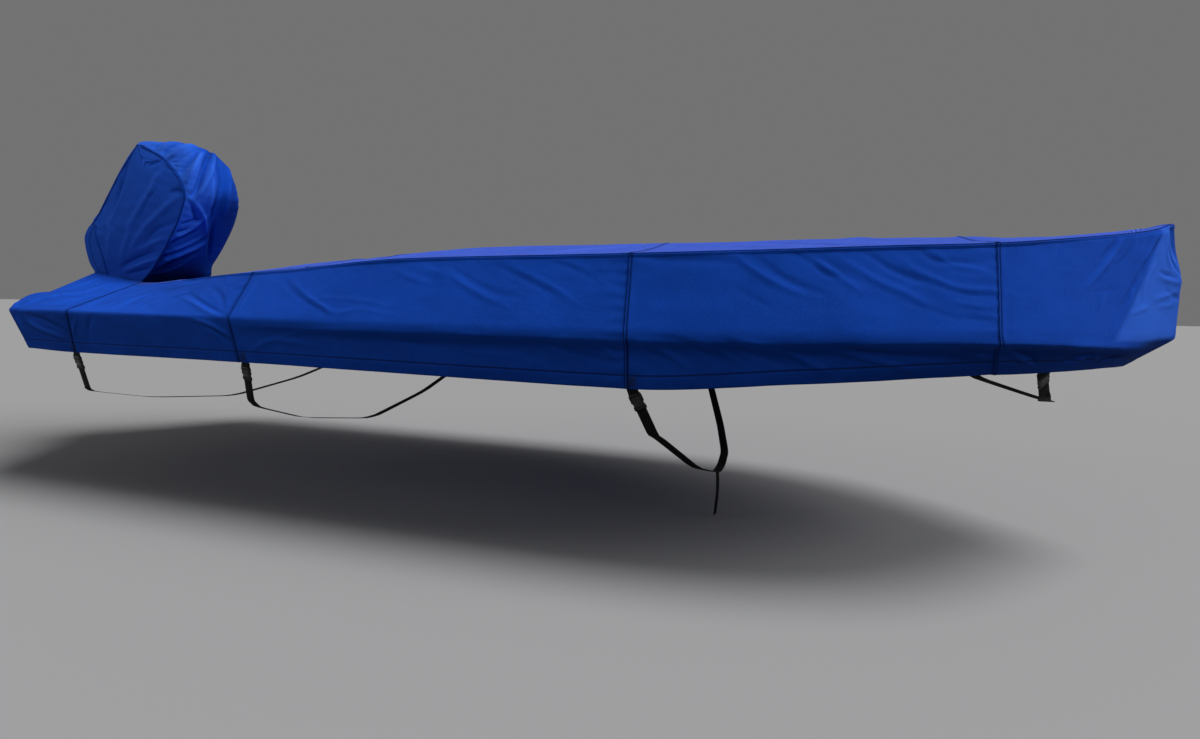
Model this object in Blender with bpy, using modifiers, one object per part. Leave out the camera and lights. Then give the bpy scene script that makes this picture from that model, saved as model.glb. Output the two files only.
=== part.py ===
"""Fitted boat cover with an outboard-motor hood, for a 4.9 m skiff.

Frame: metres, +X to the bow, +Y to port, +Z up. The origin lies under the cloth of the
top, on the centreline, where the ridge of the boat holds the cover up.
The cover is a hollow tent of sewn panels. Each bay between two cross seams has a side
panel a side and a top panel; the hood, its crown, its gussets and the two transom flaps
close the stern. Four webbing straps run from hem to hem under the hull.
"""
import math

import bmesh
import bpy
from mathutils import Vector

CLOTH = 0.002            # thickness of the coated twill with its seam allowance
GAP = 0.0003             # between pieces that touch
FLAT_INSET = GAP / 2     # from a seam line, where the cloth runs on nearly flat
BENT_INSET = 0.0010      # from a seam line, where two panels meet at an angle
HOOD_INSET = 0.0020      # from the hood's seams, where the angle is sharper
FOOT_INSET = 0.0036      # from the front foot of the hood, which leans over the top
TIP_INSET = 0.0040       # from the shoulder seams of the bow bay
TIP_END = 0.022          # from the point of the bow, where three panels meet
FLAP_INSET = 0.0030      # from the stern edge, where a flap folds down under the deck
STEM_INSET = 0.0014      # from the centre of the bow
WEBBING_WIDTH = 0.038
WEBBING = 0.0016
TAB_ABOVE_HEM = 0.045
TAB_BELOW_HEM = 0.020
TAB_STAND = 0.0006       # between the hem and the tab sewn behind it
BUCKLE_LENGTH = 0.062
BUCKLE_WIDTH = 0.046
BUCKLE_DEPTH = 0.013
# Outline of a closed buckle: share of its length from the top, share of its full width.
BUCKLE_OUTLINE = [(0.0, 0.86), (0.12, 1.0), (0.50, 1.0), (0.58, 0.84), (0.70, 0.84),
                  (0.78, 0.98), (0.94, 0.98), (1.0, 0.86)]
WEBBING_STEP = 0.06      # longest straight run of a strap's solid
ROUTE_CUT = 0.12         # share of each run cut off to ease a corner of a strap's route

CLOTH_COLOUR = (0.010, 0.050, 0.300, 1.0)
TOP_COLOUR = (0.020, 0.070, 0.400, 1.0)
WEBBING_COLOUR = (0.006, 0.006, 0.007, 1.0)
BUCKLE_COLOUR = (0.012, 0.012, 0.014, 1.0)
CLOTH_ROUGHNESS = 0.75
WEBBING_ROUGHNESS = 0.65
BUCKLE_ROUGHNESS = 0.35

# Frames of the cover from stern to bow, starboard side with the half-breadths positive.
# station: place along the hull; hem, knuckle, shoulder: (x, half-breadth, z); ridge: (x, z).
# The knuckle lies on the gunwale. The first shoulder is the aft end of the hood's foot.
FRAMES = [
    dict(station=-2.47, hem=(-2.38, 0.860, -0.546), knuckle=(-2.470, 0.880, -0.366),
         shoulder=(-2.955, 0.170, -0.153), ridge=(-2.955, -0.138)),
    dict(station=-2.04, hem=(-2.05, 0.870, -0.552), knuckle=(-2.040, 0.900, -0.360),
         shoulder=(-2.502, 0.270, -0.228), ridge=(-2.575, -0.175)),
    dict(station=-1.10, hem=(-1.076, 0.880, -0.550), knuckle=(-1.100, 0.905, -0.368),
         shoulder=(-1.110, 0.760, -0.178), ridge=(-1.100, -0.043)),
    dict(station=-0.30, hem=(-0.30, 0.880, -0.555), knuckle=(-0.300, 0.905, -0.372),
         shoulder=(-0.300, 0.795, -0.130), ridge=(-0.300, 0.016)),
    dict(station=0.56, hem=(0.565, 0.870, -0.561), knuckle=(0.560, 0.890, -0.370),
         shoulder=(0.550, 0.800, -0.115), ridge=(0.540, 0.024)),
    dict(station=1.10, hem=(1.108, 0.830, -0.518), knuckle=(1.100, 0.860, -0.362),
         shoulder=(1.110, 0.755, -0.098), ridge=(1.110, 0.033)),
    dict(station=1.68, hem=(1.690, 0.660, -0.474), knuckle=(1.680, 0.720, -0.346),
         shoulder=(1.687, 0.600, -0.064), ridge=(1.700, 0.038)),
    dict(station=2.13, hem=(2.135, 0.290, -0.462), knuckle=(2.145, 0.350, -0.356),
         shoulder=(2.250, 0.190, 0.010), ridge=(2.230, 0.050)),
    dict(station=2.467, hem=(2.312, 0.002, -0.473), knuckle=(2.467, 0.002, -0.363),
         shoulder=(2.430, 0.010, 0.060), ridge=(2.434, 0.078)),
]
STATIONS = [frame["station"] for frame in FRAMES]

HOOD_STATION = -2.04     # seam from the stern deck to the foot of the hood

# Bays of the sides between cross seams: name, aft and fore station.
BAYS = [
    dict(name="stern", aft=-2.47, fore=HOOD_STATION),
    dict(name="aft", aft=HOOD_STATION, fore=-1.10),
    dict(name="mid", aft=-1.10, fore=0.56),
    dict(name="fore", aft=0.56, fore=1.68),
    dict(name="bow", aft=1.68, fore=2.467),
]
# Bays of the top, which starts at the hood and has one seam more than the sides.
TOP_BAYS = [
    dict(name="aft", aft=HOOD_STATION, fore=-1.10),
    dict(name="mid_aft", aft=-1.10, fore=-0.83),
    dict(name="mid", aft=-0.83, fore=0.56),
    dict(name="fore", aft=0.56, fore=1.68),
    dict(name="bow", aft=1.68, fore=2.467),
]
# Cells of the solids between one seam station and the next, the same above and below
# the shoulder, so that panels which share a seam also share its points.
CELLS = [(-2.47, HOOD_STATION, 8), (HOOD_STATION, -1.10, 8), (-1.10, -0.83, 3), (-0.83, 0.56, 10),
         (0.56, 1.68, 9), (1.68, 2.467, 9)]
SKIRT_CELLS = 3          # from hem to knuckle
WALL_CELLS = 5           # from knuckle to shoulder
TOP_CELLS = 10           # across the top
RIDGE_ROLL = 0.018       # drop of the ridge where the cloth rolls over it
RIDGE_WIDTH = 0.12       # of that roll, as a share of the way to a shoulder
TOP_SAG = 0.010          # of the top between the ridge and a shoulder
HOOD_PULL = 0.3          # share of the aft bay over which the hood's foot shapes the top
HOOD_FOOT_FRONT = (-2.575, 0.170, -0.207)
STERN_ROLL = 0.035       # swelling of the stern deck beside the knuckle, most at the corner
STERN_ROLL_REACH = 0.25  # share of the deck that it takes up
FOLD_EDGE = 0.125        # share of a panel beside its seams over which folds die out
FOLD_FALLOFF = 4         # how steeply a fold dies away across its width

# Soft folds pressed into the panels. along and up run 0 to 1 over the bay and from the
# knuckle (0) to the shoulder (1); height is out of the cloth, below 0 for a trough.
WALL_FOLDS = [
    dict(bay="stern", start=(0.02, 0.18), end=(0.80, 0.95), width=0.09, height=0.012),
    dict(bay="stern", start=(0.22, 0.12), end=(0.98, 0.72), width=0.08, height=-0.012),
    dict(bay="stern", start=(0.00, 0.45), end=(0.45, 0.98), width=0.09, height=-0.010),
    dict(bay="aft", start=(0.05, 0.30), end=(0.55, 0.62), width=0.09, height=0.010),
    dict(bay="aft", start=(0.08, 0.62), end=(0.70, 0.40), width=0.10, height=-0.010),
    dict(bay="aft", start=(0.60, 0.15), end=(0.98, 0.75), width=0.10, height=-0.008),
    dict(bay="mid", start=(0.05, 0.25), end=(0.30, 0.85), width=0.12, height=-0.008),
    dict(bay="mid", start=(0.40, 0.75), end=(0.95, 0.45), width=0.14, height=-0.008),
    dict(bay="fore", start=(0.05, 0.50), end=(0.70, 0.85), width=0.14, height=-0.007),
    dict(bay="bow", start=(0.86, 1.00), end=(0.60, 0.00), width=0.10, height=0.012),
    dict(bay="bow", start=(0.05, 0.85), end=(0.40, 0.50), width=0.12, height=-0.006),
]

# The hood's front and aft edges, foot first: x, z, half-width of the hood there.
HOOD_FRONT = [(-2.575, -0.207, 0.170), (-2.500, -0.148, 0.172), (-2.338, 0.032, 0.175),
              (-2.232, 0.200, 0.175), (-2.205, 0.285, 0.172), (-2.346, 0.480, 0.162),
              (-2.545, 0.578, 0.148)]
HOOD_AFT = [(-2.955, -0.153, 0.170), (-2.995, -0.090, 0.172), (-3.020, 0.041, 0.175),
            (-2.895, 0.195, 0.172), (-2.722, 0.424, 0.162), (-2.588, 0.582, 0.148)]
HOOD_SIDE_CROWN = 0.022  # how far a hood side swells out at its middle
HOOD_LEVELS = [0, 0.09, 0.18, 0.27, 0.36, 0.46, 0.57, 0.68, 0.79, 0.90, 1.0]
HOOD_CELLS_ALONG = 5
GUSSET_CELLS = 3
CROWN_CELLS_ACROSS = 8
CROWN_CELLS_FRONT = 12
CROWN_CELLS_AFT = 6
CROWN_AFT_REACH = 0.62   # share of the aft edge that the crown runs down, above the opening
EDGE_STEP = 0.02         # each way along an edge of the hood, to find its direction
CROWN_RISE_TOP = 0.065   # how far the crown swells over the top of the hood
CROWN_RISE_FRONT = 0.018
CROWN_TURN = (0.40, 0.75)  # share of the front seam over which the swelling grows
# The brow is the crown's fullest part: its extra swelling, then its place and half-length as shares
# of the front seam.
CROWN_BROW = (0.065, 0.75, 0.16)
CROWN_FULLNESS = 4       # power of the swelling across the crown: 2 is an arch, more is boxier
GUSSET_TOP = 0.36        # share of the hood's height up to which the gussets reach
GUSSET_LEVELS = 5        # of HOOD_LEVELS, up to GUSSET_TOP
# Width of a gusset as a share of the hood's side: it bulges and narrows to GUSSET_LEAST.
GUSSET_LEAST = 0.06
GUSSET_BULGE = 0.20
GUSSET_START = 0.42      # share of the bulge already behind at the foot
TRANSOM_FLAP_FOOT = (-2.800, 0.170, -0.450)
FLAP_CELLS = 4

# Straps: number, station of the tab, and the route of the webbing under the hull as
# (x, half-breadth, z) from the buckle to the keel.
STRAPS = [
    dict(number=1, station=-2.045, route=[(-2.056, 0.825, -0.725), (-2.080, 0.790, -0.745),
         (-2.100, 0.500, -0.815), (-2.110, 0.060, -0.868), (-2.110, 0.0, -0.870)]),
    dict(number=2, station=-1.078, route=[(-1.082, 0.830, -0.716), (-1.095, 0.785, -0.752),
         (-1.120, 0.500, -0.850), (-1.130, 0.060, -0.928), (-1.130, 0.0, -0.930)]),
    dict(number=3, station=0.570, route=[(0.643, 0.815, -0.722), (0.660, 0.765, -0.748),
         (0.749, 0.480, -0.912), (0.803, 0.200, -0.997), (0.806, 0.0, -1.012)]),
    dict(number=4, station=1.835, route=[(1.905, 0.440, -0.560), (1.935, 0.360, -0.582),
         (2.010, 0.180, -0.606), (2.065, 0.050, -0.622), (2.080, 0.0, -0.625)]),
]
TAIL_LENGTH = 0.20       # free end of webbing that hangs from strap 3
TAIL_PLACE = (0.803, -0.150)
TAIL_FACING = (0.25, 0.97, 0.0)  # along its width: it has turned nearly edge-on to the side
TAIL_SEAT = 0.0022       # below the middle of the webbing that it hangs from
TAIL_CELLS = 4


def clear_scene():
    for thing in list(bpy.data.objects):
        bpy.data.objects.remove(thing, do_unlink=True)


def make_collection(name):
    collection = bpy.data.collections.new(name)
    bpy.context.scene.collection.children.link(collection)
    return collection


def make_material(name, colour, roughness):
    material = bpy.data.materials.new(name)
    material.use_nodes = True
    shader = material.node_tree.nodes["Principled BSDF"]
    shader.inputs["Base Color"].default_value = colour
    shader.inputs["Roughness"].default_value = roughness
    return material


def smooth_value(places, values, place):
    """A cubic through the values that never overshoots between two of them."""
    last = len(places) - 1
    if place <= places[0]:
        return values[0]
    if place >= places[last]:
        return values[last]
    slopes = [(values[i + 1] - values[i]) / (places[i + 1] - places[i]) for i in range(last)]
    i = max(k for k in range(last) if places[k] <= place)

    def tangent(k):
        if k == 0:
            return slopes[0]
        if k == last:
            return slopes[-1]
        before, after = slopes[k - 1], slopes[k]
        return 0.0 if before * after <= 0 else 2 * before * after / (before + after)

    span = places[i + 1] - places[i]
    t = (place - places[i]) / span
    start, end = tangent(i) * span, tangent(i + 1) * span
    return ((2 * t**3 - 3 * t**2 + 1) * values[i] + (t**3 - 2 * t**2 + t) * start
            + (3 * t**2 - 2 * t**3) * values[i + 1] + (t**3 - t**2) * end)


def line_point(line, station):
    """Point of the hem, knuckle or shoulder at a station, starboard side folded to +Y."""
    return Vector([smooth_value(STATIONS, [frame[line][axis] for frame in FRAMES], station)
                   for axis in range(3)])


def ridge_point(station):
    x = smooth_value(STATIONS, [frame["ridge"][0] for frame in FRAMES], station)
    z = smooth_value(STATIONS, [frame["ridge"][1] for frame in FRAMES], station)
    return Vector((x, 0.0, z))


def bay_stations(bay):
    """The stations of the solids' points along a bay, ends included."""
    stations = [bay["aft"]]
    for aft, fore, count in CELLS:
        if aft >= bay["aft"] and fore <= bay["fore"]:
            stations += [aft + (fore - aft) * i / count for i in range(1, count + 1)]
    return stations


def wall_head(bay, station):
    """Top edge of a side panel: the shoulder seam, or in the stern bay the hood's foot."""
    if bay["name"] != "stern":
        return line_point("shoulder", station)
    aft = line_point("shoulder", bay["aft"])
    return aft.lerp(Vector(HOOD_FOOT_FRONT), bay_share(bay, station))


def bay_share(bay, station):
    return (station - bay["aft"]) / (bay["fore"] - bay["aft"])


def fold_height(folds, bay, along, up, length, rise):
    """Sum of the soft ridges and troughs of a bay at one place on its wall."""
    total = 0.0
    here = Vector((along * length, up * rise))
    for fold in folds:
        if fold["bay"] != bay:
            continue
        start = Vector((fold["start"][0] * length, fold["start"][1] * rise))
        run = Vector((fold["end"][0] * length, fold["end"][1] * rise)) - start
        t = (here - start).dot(run) / run.length_squared
        fade = max(0.0, 1.0 - (2 * t - 1)**4) if 0 <= t <= 1 else 0.0
        away = (here - start - run * t).length / fold["width"]
        total += fold["height"] * fade * math.exp(-FOLD_FALLOFF * away * away)
    return total


def wall_point(bay, station, up):
    """Point on a side panel, up from -1 at the hem through 0 at the knuckle to 1."""
    along = bay_share(bay, station)
    hem, knuckle = line_point("hem", station), line_point("knuckle", station)
    if up <= 0:
        return knuckle.lerp(hem, -up)
    head = wall_head(bay, station)
    point = knuckle.lerp(head, up)
    rise = (head - knuckle).length
    out = (head - knuckle).cross(Vector((1, 0, 0))).normalized()
    if out.y < 0:
        out = -out
    roll = STERN_ROLL * max(0.0, 1 - along) if bay["name"] == "stern" else 0.0
    swell = roll * math.sin(math.pi * min(1.0, up / STERN_ROLL_REACH))
    edge = (min(1.0, min(along, 1 - along) / FOLD_EDGE)
            * min(1.0, min(up, 1 - up) / FOLD_EDGE))
    height = fold_height(WALL_FOLDS, bay["name"], along, up, bay["fore"] - bay["aft"], rise)
    return point + out * (swell + height * edge)


def draped_top(station, share):
    """Point between ridge (share 0) and shoulder (1): a rolled ridge and a slight sag."""
    point = ridge_point(station).lerp(line_point("shoulder", station), share)
    point.z -= RIDGE_ROLL * (1 - share) * math.exp(-(share / RIDGE_WIDTH)**2)
    point.z -= TOP_SAG * math.sin(math.pi * share)
    return point


def top_point(bay, station, across):
    """Point on a top panel, across from -1 on the starboard seam to 1 on the port one."""
    share = abs(across)
    point = draped_top(station, share)
    if bay["name"] == "aft":
        near = max(0.0, 1 - bay_share(bay, station) / HOOD_PULL)
        point += (foot_point(share) - draped_top(bay["aft"], share)) * near
    if across < 0:
        point.y = -point.y
    return point


def foot_point(share):
    """Point on the aft edge of the top, sewn to the front of the hood and the stern deck."""
    corner, shoulder = Vector(HOOD_FOOT_FRONT), line_point("shoulder", HOOD_STATION)
    half = shoulder.y * share
    if half <= corner.y:
        return Vector((corner.x, half, corner.z))
    return corner.lerp(shoulder, (half - corner.y) / (shoulder.y - corner.y))


def inset_grid(rows, side_inset, end_inset):
    """Draw the border of a grid of points in from its seam lines."""
    for row in rows:
        row[0] = row[0] + (row[1] - row[0]).normalized() * end_inset[0]
        row[-1] = row[-1] + (row[-2] - row[-1]).normalized() * end_inset[1]
    first = [p + (q - p).normalized() * side_inset[0] for p, q in zip(rows[0], rows[1])]
    final = [p + (q - p).normalized() * side_inset[1] for p, q in zip(rows[-1], rows[-2])]
    rows[0], rows[-1] = first, final
    return rows


def mirrored(rows):
    return [[Vector((p.x, -p.y, p.z)) for p in row] for row in rows]


def sheet_from_rows(name, rows, material, collection, thickness=CLOTH):
    """A lofted sheet through rows of points, thickened evenly about its middle surface."""
    mesh = bpy.data.meshes.new(name)
    grid = bmesh.new()
    verts = [[grid.verts.new(p) for p in row] for row in rows]
    for lower, upper in zip(verts, verts[1:]):
        for a, b, c, d in zip(lower, lower[1:], upper[1:], upper):
            grid.faces.new((a, b, c, d))
    bmesh.ops.recalc_face_normals(grid, faces=grid.faces)
    grid.to_mesh(mesh)
    grid.free()
    mesh.materials.append(material)
    mesh.shade_smooth()
    sheet = bpy.data.objects.new(name, mesh)
    collection.objects.link(sheet)
    solid = sheet.modifiers.new("thickness", "SOLIDIFY")
    solid.thickness = thickness
    solid.offset = 0.0
    solid.use_even_offset = True
    return sheet


def shoulder_inset(bay):
    return TIP_INSET if bay["name"] == "bow" else BENT_INSET


def build_walls(material, collection):
    """Side panels: skirt, knuckle fold and wall in one piece of cloth per bay and side."""
    ups = [-1 + i / SKIRT_CELLS for i in range(SKIRT_CELLS)]
    ups += [i / WALL_CELLS for i in range(WALL_CELLS + 1)]
    for bay in BAYS:
        rows = [[wall_point(bay, station, up) for station in bay_stations(bay)] for up in ups]
        aft_inset = BENT_INSET if bay["name"] == "aft" else FLAT_INSET
        fore_inset = {"stern": BENT_INSET, "bow": STEM_INSET}.get(bay["name"], FLAT_INSET)
        rows = inset_grid(rows, (0.0, shoulder_inset(bay)), (aft_inset, fore_inset))
        sheet_from_rows(f"side_{bay['name']}_port", rows, material, collection)
        sheet_from_rows(f"side_{bay['name']}_starboard", mirrored(rows), material, collection)


def build_top(material, collection):
    """Top panels, each from shoulder seam to shoulder seam."""
    for bay in TOP_BAYS:
        acrosses = [2 * j / TOP_CELLS - 1 for j in range(TOP_CELLS + 1)]
        rows = [[top_point(bay, station, across) for across in acrosses]
                for station in bay_stations(bay)]
        aft_inset = FOOT_INSET if bay["name"] == "aft" else FLAT_INSET
        fore_inset = TIP_END if bay["name"] == "bow" else FLAT_INSET
        seam_inset = shoulder_inset(bay)
        rows = inset_grid(rows, (aft_inset, fore_inset), (seam_inset, seam_inset))
        sheet_from_rows(f"top_{bay['name']}", rows, material, collection)


def build_transom_flaps(material, collection):
    """Plain flaps that close the stern each side of the motor opening."""
    bay = BAYS[0]
    ups = [i / WALL_CELLS for i in range(WALL_CELLS + 1)]
    head = [wall_point(bay, bay["aft"], up) for up in ups]
    hem_corner = line_point("hem", bay["aft"])
    foot = [hem_corner.lerp(Vector(TRANSOM_FLAP_FOOT), up) for up in ups]
    rows = [[a.lerp(b, i / FLAP_CELLS) for a, b in zip(head, foot)]
            for i in range(FLAP_CELLS + 1)]
    rows = inset_grid(rows, (FLAP_INSET, 0.0), (FLAP_INSET, 0.0))
    sheet_from_rows("transom_flap_port", rows, material, collection)
    sheet_from_rows("transom_flap_starboard", mirrored(rows), material, collection)


def hood_edge(table, share):
    """Point (x, z, half-width) on an edge of the hood, share 0 at the foot and 1 on top."""
    lengths = [0.0]
    for a, b in zip(table, table[1:]):
        lengths.append(lengths[-1] + math.hypot(b[0] - a[0], b[1] - a[1]))
    places = [length / lengths[-1] for length in lengths]
    return [smooth_value(places, [row[i] for row in table], share) for i in range(3)]


def gusset_reach(up):
    """How far the gusset runs forward from the hood's aft edge, as a share of the side."""
    if up > GUSSET_TOP:
        return 0.0
    share = GUSSET_START + (1 - GUSSET_START) * up / GUSSET_TOP
    return GUSSET_LEAST + GUSSET_BULGE * math.sin(math.pi * share)


def hood_side_point(up, along):
    """Point on the hood's side, along 0 at its front seam and 1 at its aft edge."""
    front, aft = hood_edge(HOOD_FRONT, up), hood_edge(HOOD_AFT, up)
    x, z, y = (f + (a - f) * along for f, a in zip(front, aft))
    swell = HOOD_SIDE_CROWN * math.sin(math.pi * along) * math.sin(math.pi * up)
    return Vector((x, y + swell, z))


def build_hood(material, collection):
    """Two sides, the crown between them and a gusset low on each side of the opening."""
    side = []
    for up in HOOD_LEVELS:
        end = 1 - gusset_reach(up)
        side.append([hood_side_point(up, end * i / HOOD_CELLS_ALONG)
                     for i in range(HOOD_CELLS_ALONG + 1)])
    side = inset_grid(side, (HOOD_INSET, HOOD_INSET), (HOOD_INSET, HOOD_INSET))
    sheet_from_rows("hood_side_port", side, material, collection)
    sheet_from_rows("hood_side_starboard", mirrored(side), material, collection)

    gusset = []
    for up in HOOD_LEVELS[:GUSSET_LEVELS]:
        start = 1 - gusset_reach(up)
        gusset.append([hood_side_point(up, start + (1 - start) * i / GUSSET_CELLS)
                       for i in range(GUSSET_CELLS + 1)])
    gusset = inset_grid(gusset, (HOOD_INSET, HOOD_INSET), (HOOD_INSET, HOOD_INSET))
    sheet_from_rows("hood_gusset_port", gusset, material, collection)
    sheet_from_rows("hood_gusset_starboard", mirrored(gusset), material, collection)

    crown = []
    front_shares = [i / CROWN_CELLS_FRONT for i in range(CROWN_CELLS_FRONT + 1)]
    aft_shares = [1 - CROWN_AFT_REACH * i / CROWN_CELLS_AFT for i in range(CROWN_CELLS_AFT + 1)]
    for table, shares, facing in ((HOOD_FRONT, front_shares, 1), (HOOD_AFT, aft_shares, -1)):
        for share in shares:
            crown.append(crown_row(table, share, facing))
    crown = inset_grid(crown, (FOOT_INSET, 0.0), (HOOD_INSET, HOOD_INSET))
    sheet_from_rows("hood_crown", crown, material, collection)


def crown_row(table, share, facing):
    """One line of the crown across the hood, swollen out between its two seams."""
    x, z, half = hood_edge(table, share)
    x_on, z_on, _ = hood_edge(table, min(1.0, share + EDGE_STEP))
    x_back, z_back, _ = hood_edge(table, max(0.0, share - EDGE_STEP))
    run = Vector((x_on - x_back, 0, z_on - z_back)).normalized()
    out = Vector((run.z, 0, -run.x)) * facing
    start, end = CROWN_TURN
    turn = min(1.0, max(0.0, (share - start) / (end - start)))
    turn = turn * turn * (3 - 2 * turn)
    rise = CROWN_RISE_FRONT * min(1.0, share / start) * (1 - turn) + CROWN_RISE_TOP * turn
    if facing > 0:
        swell, place, spread = CROWN_BROW
        rise += swell * math.exp(-((share - place) / spread) ** 2)
    row = []
    for i in range(CROWN_CELLS_ACROSS + 1):
        across = 2 * i / CROWN_CELLS_ACROSS - 1
        lift = rise * (1 - abs(across) ** CROWN_FULLNESS)
        row.append(Vector((x, across * half, z)) + out * lift)
    return row


def ribbon(name, points, sideways, width, thickness, material, collection):
    """Flat webbing along a route; sideways holds the direction of its width at each point."""
    rows = []
    for i, point in enumerate(points):
        ahead, behind = points[min(i + 1, len(points) - 1)], points[max(i - 1, 0)]
        run = (ahead - behind).normalized()
        wide = (sideways[i] - run * sideways[i].dot(run)).normalized() * width / 2
        rows.append([point - wide, point, point + wide])
    return sheet_from_rows(name, rows, material, collection, thickness)


def skirt_point(station, up):
    """Point on the flat facets of the solids' skirt, starboard side folded to +Y."""
    bay = next(b for b in BAYS if station <= b["fore"])
    stations = bay_stations(bay)
    i = max(k for k in range(len(stations) - 1) if stations[k] <= station or k == 0)
    aft, fore = (wall_point(bay, stations[k], up) for k in (i, i + 1))
    return aft.lerp(fore, (station - stations[i]) / (stations[i + 1] - stations[i]))


def build_tab(name, strap, side, material, collection):
    """A tab of webbing sewn behind the hem, on the cover's own facets. Returns its foot."""
    flip = Vector((1, side, 1))
    station, half = strap["station"], WEBBING_WIDTH / 2
    hems = [skirt_point(station + offset, -1) for offset in (-half, 0, half)]
    knuckles = [skirt_point(station + offset, 0) for offset in (-half, 0, half)]
    along = (hems[2] - hems[0]).normalized()
    up = (knuckles[1] - hems[1]).normalized()
    out = along.cross(up).normalized()
    out = out if out.y > 0 else -out
    stand = -out * (CLOTH / 2 + TAB_STAND + WEBBING / 2)
    down = (Vector(strap["route"][0]) - hems[1]).normalized()
    rows = []
    for climb in (TAB_ABOVE_HEM, TAB_ABOVE_HEM / 2, 0.0):
        rows.append([(h + (k - h).normalized() * climb + stand) * flip
                     for h, k in zip(hems, knuckles)])
    foot = hems[1] + stand + down * TAB_BELOW_HEM
    across = (along - down * along.dot(down)).normalized()
    rows.append([(foot + across * offset) * flip for offset in (-half, 0, half)])
    sheet_from_rows(name, rows, material, collection, WEBBING)
    return rows[-1][1], along * flip, out * flip, down * flip


def build_straps(webbing, plastic, collection):
    for strap in STRAPS:
        ways, acrosses = [], []
        for side, side_name in ((-1, "starboard"), (1, "port")):
            foot, along, out, down = build_tab(f"strap_tab_{strap['number']}_{side_name}",
                                               strap, side, webbing, collection)
            buckle_top = foot + down * GAP
            build_buckle(f"buckle_{strap['number']}_{side_name}", buckle_top, down, out,
                         plastic, collection)
            start = buckle_top + down * (BUCKLE_LENGTH + GAP)
            ways.append([start] + [Vector((x, y * side, z)) for x, y, z in strap["route"]])
            acrosses.append(along)
        route = even_steps(round_route(ways[0] + ways[1][::-1][1:]))
        reach = abs(route[0].y)
        keelwise = Vector((1, 0, 0))
        sideways = [keelwise.lerp(acrosses[0] if p.y < 0 else acrosses[1], abs(p.y) / reach)
                    for p in route]
        ribbon(f"webbing_{strap['number']}", route, sideways, WEBBING_WIDTH, WEBBING,
               webbing, collection)
    build_tail(webbing, collection)


def build_tail(webbing, collection):
    """The free end of strap 3, which hangs straight down from under the hull."""
    x, y = TAIL_PLACE
    strap = next(s for s in STRAPS if s["number"] == 3)
    (_, y_out, z_out), (_, y_in, z_in) = strap["route"][3], strap["route"][4]
    z = z_out + (z_in - z_out) * (y_out + y) / (y_out - y_in)
    top = Vector((x, y, z - TAIL_SEAT))
    points = [top - Vector((0, 0, TAIL_LENGTH * i / TAIL_CELLS)) for i in range(TAIL_CELLS + 1)]
    facings = [Vector(TAIL_FACING) for _ in points]
    ribbon("webbing_3_free_end", points, facings, WEBBING_WIDTH, WEBBING, webbing, collection)


def round_route(points):
    """Ease the corners of a route by cutting each one short twice."""
    for _ in range(2):
        eased = [points[0]]
        for a, b, c in zip(points, points[1:], points[2:]):
            eased += [b.lerp(a, ROUTE_CUT), b.lerp(c, ROUTE_CUT)]
        points = eased + [points[-1]]
    return points


def even_steps(points):
    """Split the long runs of a route into steps no longer than WEBBING_STEP."""
    out = [points[0]]
    for a, b in zip(points, points[1:]):
        steps = max(1, math.ceil((b - a).length / WEBBING_STEP))
        out += [a.lerp(b, i / steps) for i in range(1, steps + 1)]
    return out


def build_buckle(name, top, down, out, material, collection):
    """A side-release buckle, snapped shut: one flat block with a waist below its middle."""
    across = down.cross(out).normalized()
    face = across.cross(down).normalized()
    mesh = bpy.data.meshes.new(name)
    body = bmesh.new()
    loops = []
    for place, share in BUCKLE_OUTLINE:
        centre = top + down * BUCKLE_LENGTH * place
        wide = across * BUCKLE_WIDTH / 2 * share
        deep = face * BUCKLE_DEPTH / 2
        loops.append([body.verts.new(centre + a * wide + b * deep)
                      for a, b in ((-1, -1), (1, -1), (1, 1), (-1, 1))])
    for lower, upper in zip(loops, loops[1:]):
        for i in range(4):
            body.faces.new((lower[i], lower[(i + 1) % 4], upper[(i + 1) % 4], upper[i]))
    body.faces.new(loops[0][::-1])
    body.faces.new(loops[-1])
    bmesh.ops.recalc_face_normals(body, faces=body.faces)
    body.to_mesh(mesh)
    body.free()
    mesh.materials.append(material)
    buckle = bpy.data.objects.new(name, mesh)
    collection.objects.link(buckle)


def main():
    clear_scene()
    cover = make_collection("boat_cover")
    cloth = make_material("cover_cloth", CLOTH_COLOUR, CLOTH_ROUGHNESS)
    top = make_material("top_cloth", TOP_COLOUR, CLOTH_ROUGHNESS)
    webbing = make_material("webbing", WEBBING_COLOUR, WEBBING_ROUGHNESS)
    plastic = make_material("buckle_plastic", BUCKLE_COLOUR, BUCKLE_ROUGHNESS)
    build_walls(cloth, cover)
    build_top(top, cover)
    build_transom_flaps(cloth, cover)
    build_hood(cloth, cover)
    build_straps(webbing, plastic, cover)


main()
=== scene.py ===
# A fitted boat cover with an outboard-motor hood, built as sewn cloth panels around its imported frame.
import math

import bmesh
import bpy
import numpy as np
from mathutils import Matrix, Vector


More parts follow.
